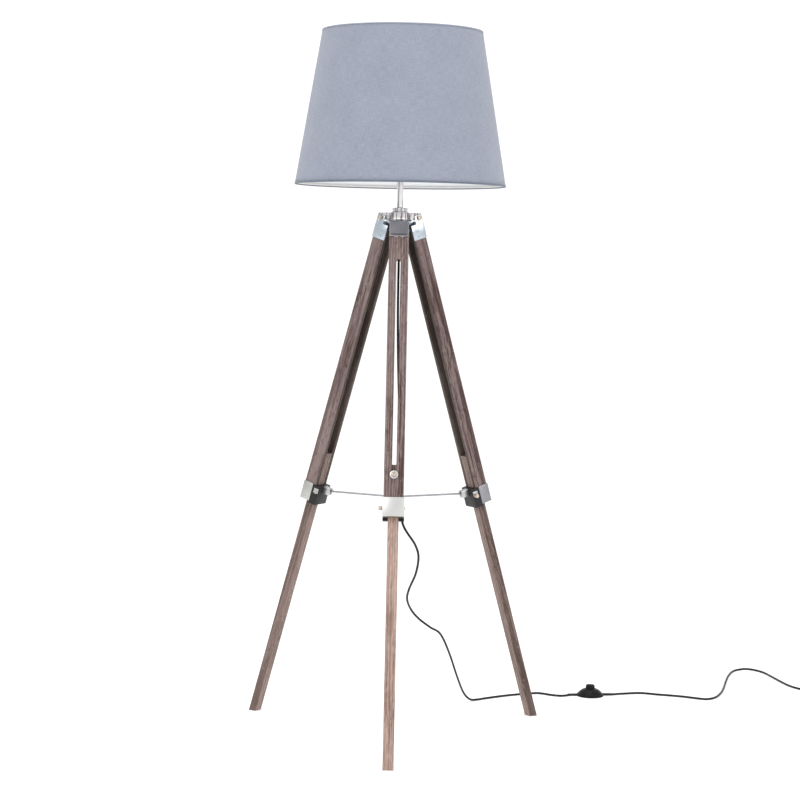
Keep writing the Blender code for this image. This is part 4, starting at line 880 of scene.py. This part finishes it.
@dataclass
class Shade(Assembly):
    """The tapered fabric shade on its two rings and drop spider, with the lampholder and the bulb."""

    steps: int = 180
    fabric_thick: float = 0.0012
    liner_thick: float = 0.0010
    gap: float = 0.0003
    hem_high: float = 0.0060
    hem_proud: float = 0.0007
    seam_wide: float = 0.0120
    wire: float = 0.0018

    def build(self) -> None:
        """Make the shade, its frame and what it covers."""
        low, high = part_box("shade_fabric")
        self.low, self.high = low.z, high.z
        self.wide = (high.x - low.x) / 2
        inner = [vert.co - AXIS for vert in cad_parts["shade_fabric"].data.vertices if vert.co.z > high.z - 0.001]
        self.narrow = max(co.xy.length for co in inner)
        self.cloth()
        self.frame_wires()
        self.light()

    def radius(self, height: float) -> float:
        """Return the fabric's outer radius at a height."""
        return self.wide + (self.narrow - self.wide) * (height - self.low) / (self.high - self.low)

    def wall(self, inset: float, thick: float, low: float, high: float, rows: int) -> bmesh.types.BMesh:
        """Return a cone wall with even rows up its outside."""
        heights = [low + (high - low) * row / rows for row in range(rows + 1)]
        outside = [(self.radius(height) - inset, height) for height in heights]
        inside = [(radius - thick, height) for radius, height in reversed(outside)]
        return lathe(outside + inside, self.steps, STAND, True)

    def lay_cloth(self, shape: bmesh.types.BMesh) -> None:
        """Give a turned shape a UV map in metres round and up the shade."""
        layer = shape.loops.layers.uv.new("cloth")
        for face in shape.faces:
            face.smooth = True
            middle = face.calc_center_median() - AXIS
            centre = math.atan2(middle.x, -middle.y)
            for loop in face.loops:
                spot = loop.vert.co - AXIS
                angle = math.atan2(spot.x, -spot.y)
                angle -= 2 * math.pi * round((angle - centre) / (2 * math.pi))
                loop[layer].uv = (angle * self.wide, loop.vert.co.z)

    def cloth(self) -> None:
        """The outer fabric with its glued hems and overlap seam, and the pale liner behind it."""
        cloth, hem = self.mat(CLOTH), self.mat(HEM)
        fabric = self.wall(0, self.fabric_thick, self.low, self.high, 24)
        self.lay_cloth(fabric)
        skin = self.put("shade_fabric_finished", fabric, [cloth], "head", "shade_fabric")
        for tag, low, high in (("bottom", self.low - 0.0004, self.low + self.hem_high * 0.55),
                               ("top", self.high - self.hem_high * 0.35, self.high + 0.0004)):
            band = self.wall(-self.hem_proud, self.fabric_thick + self.liner_thick + self.gap + 2 * self.hem_proud,
                             low, high, 2)
            ease(band, 0.0004, 50)
            self.lay_cloth(band)
            self.put(f"shade_hem_{tag}", band, [hem if tag == "bottom" else cloth], "head")
        seam = self.seam()
        self.lay_cloth(seam)
        self.put("shade_seam", seam, [cloth], "head")
        inset = self.fabric_thick + self.gap
        liner = self.wall(inset, self.liner_thick, self.low + 0.0006, self.high - 0.0006, 24)
        self.lay_cloth(liner)
        self.put("shade_liner_finished", liner, [self.mat(LINER)], "head", "shade_liner")

    def seam(self) -> bmesh.types.BMesh:
        """Return the lapped strip where the fabric's ends meet, down the back of the shade."""
        shape = self.wall(-self.hem_proud * 0.6, self.hem_proud * 0.8, self.low + 0.0040, self.high - 0.0030, 24)
        half = self.seam_wide / 2
        for sign in (-1, 1):
            cut = bmesh.ops.bisect_plane(shape, geom=[*shape.verts, *shape.edges, *shape.faces], clear_outer=True,
                                         plane_co=(AXIS.x + sign * half, AXIS.y, 0), plane_no=(sign, 0, 0))
            edges = [item for item in cut["geom_cut"] if isinstance(item, bmesh.types.BMEdge)]
            bmesh.ops.holes_fill(shape, edges=edges)
        front = [face for face in shape.faces if face.calc_center_median().y < AXIS.y]
        bmesh.ops.delete(shape, geom=front, context="FACES")
        bmesh.ops.recalc_face_normals(shape, faces=shape.faces)
        return shape

    def frame_wires(self) -> None:
        """The two wire rings and the drop spider."""
        white = self.mat(WIRE)
        for tag in ("top", "bottom"):
            low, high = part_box(f"shade_{tag}_wire")
            middle, height = (high.x - low.x) / 2 - self.wire, (low.z + high.z) / 2
            angles = [turn * math.pi / 6 for turn in range(12)]
            ring = [(middle + self.wire * math.cos(angle), height + self.wire * math.sin(angle))
                    for angle in angles]
            shape = lathe(ring, self.steps, STAND, True)
            for face in shape.faces:
                face.smooth = True
            self.put(f"shade_{tag}_wire_finished", shape, [white], "head", f"shade_{tag}_wire")
        self.recut("shade_spider", 0.0004, white, "head")

    def light(self) -> None:
        """The lampholder, its shade ring, the bulb's cap and its opal glass."""
        white, steel = self.mat(HOLDER), self.mat(STEEL)
        self.recut("lampholder", 0.0006, white, "head")
        low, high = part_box("shade_ring")
        turn = grip((high.x - low.x) / 2, low.z, high.z - low.z, 0.0193, 30, STAND)
        self.put("shade_ring_finished", turn, [white], "head", "shade_ring")
        low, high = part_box("bulb_cap")
        radius, tall = (high.x - low.x) / 2, high.z - low.z
        outline = [(0, low.z), (radius * 0.45, low.z), (radius * 0.55, low.z + tall * 0.08),
                   (radius * 0.90, low.z + tall * 0.14)]
        for ridge in range(9):
            outline.append((radius * (0.99 if ridge % 2 else 0.90), low.z + tall * (0.18 + 0.08 * ridge)))
        outline += [(radius, low.z + tall * 0.90), (radius, high.z), (0, high.z)]
        self.put("bulb_cap_finished", ease(lathe(outline, 48, STAND), 0.0002, 50), [steel], "head", "bulb_cap")
        low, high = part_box("bulb_glass")
        radius = (high.x - low.x) / 2
        centre = high.z - radius
        neck, foot = 0.0125, 0.0015
        outline = [(0, low.z), (0.0122, low.z), (neck, low.z + foot)]
        outline += [(neck + (radius * math.cos(math.radians(-50)) - neck) * part ** 1.6,
                     low.z + foot + (centre + radius * math.sin(math.radians(-50)) - low.z - foot) * part)
                    for part in (0.25, 0.5, 0.75)]
        outline += [(radius * math.cos(math.radians(turn)), centre + radius * math.sin(math.radians(turn)))
                    for turn in range(-50, 90, 7)]
        outline.append((0, high.z))
        glass = lathe(outline, 64, STAND)
        for face in glass.faces:
            face.smooth = abs(face.normal.z) < 0.999
        self.put("bulb_glass_finished", glass, [self.mat(OPAL)], "head", "bulb_glass")


@dataclass
class CordSet(Assembly):
    """The cord from the gland to the plug, in the runs that the folding legs need."""

    steps: int = 8
    split: int = 11
    coil_turns: float = 4.0
    per_turn: int = 20
    relief_long: float = 0.0240

    def build(self) -> None:
        leg = leg_matrix("front")
        head = [STAND @ Vector(point) for point in HEAD_ROUTE]
        down = [leg @ Vector((x, -depth, -drop)) for x, depth, drop in LEG_ROUTE]
        hang = [STAND @ Vector(point) for point in HANG_ROUTE]
        hang += [self.port(-1, PORT_LEAD), self.port(-1, 0)]
        whole = smooth_curve(head + down + hang, self.steps)
        middle = self.split * self.steps
        upper = self.tube("cord_upper", whole[:middle + 1])
        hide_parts("cord_head_run", "cord_leg_run")
        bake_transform(upper)
        lower = self.tube("cord_lower", whole[middle:])
        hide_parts("cord_hang")
        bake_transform(lower)
        tail_line = self.tail_line()
        tail = self.tube("cord_tail_run", tail_line)
        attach(tail, "head")
        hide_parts("cord_tail", "cord_coil")
        plug = self.plug(tail_line[-1])
        reliefs = [self.relief("switch_relief_in", -1), self.relief("switch_relief_out", 1)]
        gland = bpy.data.objects["cord_gland_finished"]
        self.declare(upper, whole[:middle + 1], whole[0], "object", [gland])
        self.declare(lower, whole[middle:], whole[middle], "fitting", [reliefs[0]])
        self.declare(tail, tail_line, tail_line[0], "plug", [plug, reliefs[1]])

    def declare(self, piece: bpy.types.Object, line: list[Vector], start: Vector, end: str,
                others: list[bpy.types.Object]) -> None:
        """Take a run of cord, its start, its end and the pieces at its ends, and do nothing with them."""

    def port(self, side: int, lead: float) -> Vector:
        """Return a point on the switch's rim where the cord enters (-1) or leaves (1), plus a lead."""
        angle = math.radians(SWITCH_TURN_DEG)
        reach = side * (PORT_REACH + lead)
        height = PORT_HEIGHT if lead == 0 else CORD_DIAMETER / 2 + CORD_LIFT
        across, deep = SWITCH_AXIS
        return STAND @ Vector((across + reach * math.cos(angle), deep + reach * math.sin(angle), height))

    def tail_line(self) -> list[Vector]:
        """Return the cord's line from the switch, round the coil and into the plug's back."""
        route = [self.port(1, 0), self.port(1, PORT_LEAD)] + [STAND @ Vector((*spot, FLOOR_LIE)) for spot in TAIL_ROUTE]
        centre = STAND @ Vector((*COIL_AT, 0))
        count = int(self.coil_turns * self.per_turn)
        for index in range(count + 1):
            turns = index / self.per_turn
            angle = math.pi / 2 - 2 * math.pi * turns
            ring = 0.5 - 0.5 * math.cos(math.pi * min(1, max(0, (turns % 2) - 0.75) * 2))
            if turns % 2 > 1.75:
                ring = 0.5 + 0.5 * math.cos(math.pi * min(1, (turns % 2 - 1.75) * 4))
            level = 0.5 - 0.5 * math.cos(math.pi * min(1, max(0, turns - 1.75) * 4))
            radius = COIL_RADII[0] + (COIL_RADII[1] - COIL_RADII[0]) * ring
            height = COIL_LAYERS[0] + (COIL_LAYERS[1] - COIL_LAYERS[0]) * level
            route.append(centre + Vector((radius * math.cos(angle), radius * math.sin(angle), height)))
        end = route[-1]
        route += [end + Vector(step) for step in ((0.0100, -0.0004, 0), (0.0220, -0.0018, -0.0002),
                                                  (0.0345, -0.0025, -0.0003))]
        return smooth_curve(route, self.steps)

    def tube(self, name: str, line: list[Vector]) -> bpy.types.Object:
        """Sweep the cord's round section along a line, as a mesh.

        Args:
            name: the piece's name.
            line: the points that it follows.

        Returns:
            The piece, riding on nothing yet.
        """
        curve = bpy.data.curves.new(name, "CURVE")
        curve.dimensions = "3D"
        curve.bevel_depth = CORD_DIAMETER / 2
        curve.bevel_resolution = 3
        curve.use_fill_caps = True
        spline = curve.splines.new("POLY")
        spline.points.add(len(line) - 1)
        for target, point in zip(spline.points, line):
            target.co = (*point, 1.0)
        holder = bpy.data.objects.new(f"{name}_curve", curve)
        bpy.context.collection.objects.link(holder)
        bpy.context.view_layer.update()
        spare = bpy.data.meshes.new_from_object(holder)
        shape = bmesh.new()
        shape.from_mesh(spare)
        bpy.data.objects.remove(holder, do_unlink=True)
        bpy.data.meshes.remove(spare)
        bmesh.ops.remove_doubles(shape, verts=shape.verts, dist=1e-6)
        bmesh.ops.recalc_face_normals(shape, faces=shape.faces)
        for face in shape.faces:
            face.smooth = len(face.verts) == 4
            face.material_index = 0
        return self.put(name, shape, [self.mat(CORD)], "")

    def relief(self, name: str, side: int) -> bpy.types.Object:
        """The ribbed strain relief where the cord meets the switch."""
        angle = math.radians(SWITCH_TURN_DEG + (180 if side < 0 else 0))
        inner = 0.0300
        centre = STAND @ Vector((*SWITCH_AXIS, PORT_HEIGHT))
        lie = Matrix.Translation(centre) @ Matrix.Rotation(angle, 4, "Z") @ Matrix.Rotation(math.pi / 2, 4, "Y")
        outline = [(0.0025, inner)]
        rings = 6
        for ring in range(rings):
            start = inner + self.relief_long * ring / rings
            size = 0.00315 - 0.0004 * ring / rings
            outline += [(size, start), (size, start + self.relief_long / rings * 0.62),
                        (size - 0.00035, start + self.relief_long / rings * 0.70),
                        (size - 0.00035, start + self.relief_long / rings * 0.94)]
        outline.append((0.0025, inner + self.relief_long))
        return self.put(name, ease(lathe(outline, 28, lie, True), 0.0001, 50), [self.mat(BLACK)], "head")

    def plug(self, end: Vector) -> bpy.types.Object:
        """The two-pin plug at the cord's end, with its ribbed tail."""
        low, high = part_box("plug")
        body_long, body_high = 0.0340, high.z - low.z
        wide, waist = high.y - low.y, 0.56
        lie = Matrix.Translation((low.x, (low.y + high.y) / 2, (low.z + high.z) / 2))
        shape = block((body_long, wide * waist, body_high), (body_long / 2, 0, 0), lie)
        bmesh.ops.bisect_plane(shape, geom=[*shape.verts, *shape.edges, *shape.faces],
                               plane_co=(low.x + body_long / 3, 0, 0), plane_no=(1, 0, 0))
        for vert in shape.verts:
            if vert.co.x > low.x + body_long / 3 - 1e-5:
                middle = (low.y + high.y) / 2
                vert.co.y = middle + (vert.co.y - middle) / waist
        ease(shape, 0.0022, 20)
        pins = []
        for sign in (-1, 1):
            root = lie @ Matrix.Translation((body_long - 0.0010, sign * 0.0095, 0))
            turn = root @ Matrix.Rotation(math.pi / 2, 4, "Y")
            sleeve = lathe([(0, 0), (0.0020, 0), (0.0020, 0.0100), (0, 0.0100)], 24, turn)
            tip = lathe([(0, 0.0100), (0.00185, 0.0100), (0.00185, 0.0188), (0.0011, 0.0200), (0, 0.0200)], 24, turn)
            for face in tip.faces:
                face.material_index = 1
            pins += [ease(sleeve, 0.0001, 50), ease(tip, 0.0002, 50)]
        return self.put("plug_finished", join(shape, *pins), [self.mat(BLACK), self.mat(BRASS)],
                        "head", "plug")


@dataclass
class Footswitch(Assembly):
    """The round footswitch: a glossy domed cover on a base ring, with a stepped button."""

    def build(self) -> None:
        """Make the switch's cover, its base and its button."""
        low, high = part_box("switch_body")
        radius, tall = (high.x - low.x) / 2, high.z - low.z
        place = Matrix.Translation(((low.x + high.x) / 2, (low.y + high.y) / 2, 0))
        well = 0.0112
        outline = [(0, 0.0), (radius - 0.0012, 0.0), (radius - 0.0002, 0.0010), (radius - 0.0002, 0.0042),
                   (radius - 0.0010, 0.0046), (radius - 0.0010, 0.0052)]
        for step in range(1, 13):
            part = step / 12
            outline.append((radius - 0.0010 + (well + 0.0008 - radius + 0.0010) * part,
                            0.0052 + (tall - 0.0052) * math.sin(part * math.pi / 2)))
        outline += [(well, tall - 0.0008), (well, 0.0045), (0, 0.0045)]
        body = ease(lathe(outline, 72, place), 0.0002, 40)
        self.put("switch_body_finished", body, [self.mat(GLOSS)], "head", "switch_body")
        low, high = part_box("switch_button")
        size = (high.x - low.x) / 2
        outline = [(0, low.z), (size, low.z), (size, high.z - 0.0042), (size - 0.0004, high.z - 0.0030),
                   (size - 0.0014, high.z - 0.0012), (size - 0.0034, high.z - 0.0003), (size - 0.0060, high.z),
                   (0, high.z)]
        button = ease(lathe(outline, 56, place), 0.0002, 50)
        self.put("switch_button_finished", button, [self.mat(GLOSS)], "button", "switch_button")


@dataclass
class Studio:
    """The pale floor, the soft lights and the camera."""

    paint: Paintbox

    def build(self) -> None:
        """Make the stage, the lights and the camera."""
        self.floor()
        self.lights()
        self.camera()

    def floor(self) -> None:
        """A pale sweep that curves up behind the lamp."""
        shape = bmesh.new()
        near, far, bend, top = -9.0, 7.0, 3.0, 9.0
        line = [(near, 0.0), (far, 0.0)]
        line += [(far + bend * math.sin(math.radians(turn)), bend - bend * math.cos(math.radians(turn)))
                 for turn in range(10, 91, 10)]
        line.append((far + bend, top))
        verts = [shape.verts.new((-12.0, y, z)) for y, z in line]
        edges = [shape.edges.new(pair) for pair in zip(verts, verts[1:])]
        grown = bmesh.ops.extrude_edge_only(shape, edges=edges)["geom"]
        moved = [item for item in grown if isinstance(item, bmesh.types.BMVert)]
        bmesh.ops.translate(shape, verts=moved, vec=(24.0, 0, 0))
        for face in shape.faces:
            face.smooth = True
            if face.normal.z < 0:
                face.normal_flip()
        mesh = bpy.data.meshes.new("sweep")
        shape.to_mesh(mesh)
        shape.free()
        floor = bpy.data.objects.new("sweep", mesh)
        bpy.context.collection.objects.link(floor)
        mat = bpy.data.materials.new("pale_sweep")
        mat.use_nodes = True
        s = Shader(mat.node_tree)
        skin = mat.node_tree.nodes["Principled BSDF"]
        place = s.node("TexCoord").outputs["Object"]
        shade = s.mix(s.noise(place, 1.4, 2.0), (0.86, 0.86, 0.86, 1), (0.90, 0.90, 0.90, 1))
        s.feed(skin.inputs["Base Color"], shade)
        skin.inputs["Roughness"].default_value = 0.9
        skin.inputs["Emission Color"].default_value = (1.0, 1.0, 1.0, 1.0)
        skin.inputs["Emission Strength"].default_value = 0.24
        mesh.materials.append(mat)

    def lights(self) -> None:
        """A bright even room and three large soft panels."""
        world = bpy.data.worlds.new("studio")
        bpy.context.scene.world = world
        world.use_nodes = True
        world.node_tree.nodes["Background"].inputs["Color"].default_value = (1.0, 1.0, 1.0, 1.0)
        world.node_tree.nodes["Background"].inputs["Strength"].default_value = 0.85
        for name, spot, size, power in (("key", (-2.6, -3.2, 3.2), 2.4, 58.0),
                                        ("fill", (3.2, -2.6, 2.2), 2.4, 44.0),
                                        ("top", (0.0, 0.2, 4.2), 3.0, 50.0)):
            data = bpy.data.lights.new(name, "AREA")
            data.energy = power
            data.size = size
            lamp = bpy.data.objects.new(name, data)
            lamp.location = spot
            aim = Vector((0, 0, 0.7)) - Vector(spot)
            lamp.rotation_euler = aim.to_track_quat("-Z", "Y").to_euler()
            bpy.context.collection.objects.link(lamp)

    def camera(self) -> None:
        """The camera, a little above the lamp's middle and square to its front leg."""
        data = bpy.data.cameras.new("camera")
        data.lens = LENS_MM
        data.sensor_width = SENSOR_MM
        data.clip_end = 60.0
        camera = bpy.data.objects.new("camera", data)
        turn = Matrix.Rotation(math.radians(CAMERA_HEADING_DEG), 4, "Z")
        tilt = Matrix.Rotation(math.radians(90 - CAMERA_PITCH_DEG), 4, "X")
        roll = Matrix.Rotation(math.radians(CAMERA_ROLL_DEG), 4, "Z")
        camera.matrix_world = Matrix.Translation(CAMERA_AT) @ turn @ tilt @ roll
        bpy.context.collection.objects.link(camera)
        bpy.context.scene.camera = camera
        bpy.context.scene.view_settings.view_transform = "Standard"


def main() -> None:
    """Build the lamp's pieces in order and report them."""
    logging.basicConfig(level=logging.INFO, format="%(name)s: %(message)s")
    paint = Paintbox()
    Studio(paint).build()
    head = Head(paint)
    parts: list[Assembly] = [head, CordSet(paint), Footswitch(paint), Shade(paint),
                             # The front leg's darker grey bracket is a painted reflection of the same chrome.
                             # The legs' collars take three tones of one metal: painted light and shade.
                             Leg(paint, "front", REFLECTION_GREY_PLATE, SATIN), Leg(paint, "right", CHROME, DIM_STEEL),
                             Leg(paint, "left", CHROME, SHADED_COLLAR_PLATE)]
    for part in parts:
        part.build()
        for name in part.made:
            LOG.info("%s: %s, %d faces", type(part).__name__, name, len(bpy.data.objects[name].data.polygons))


if __name__ == "__main__":
    main()
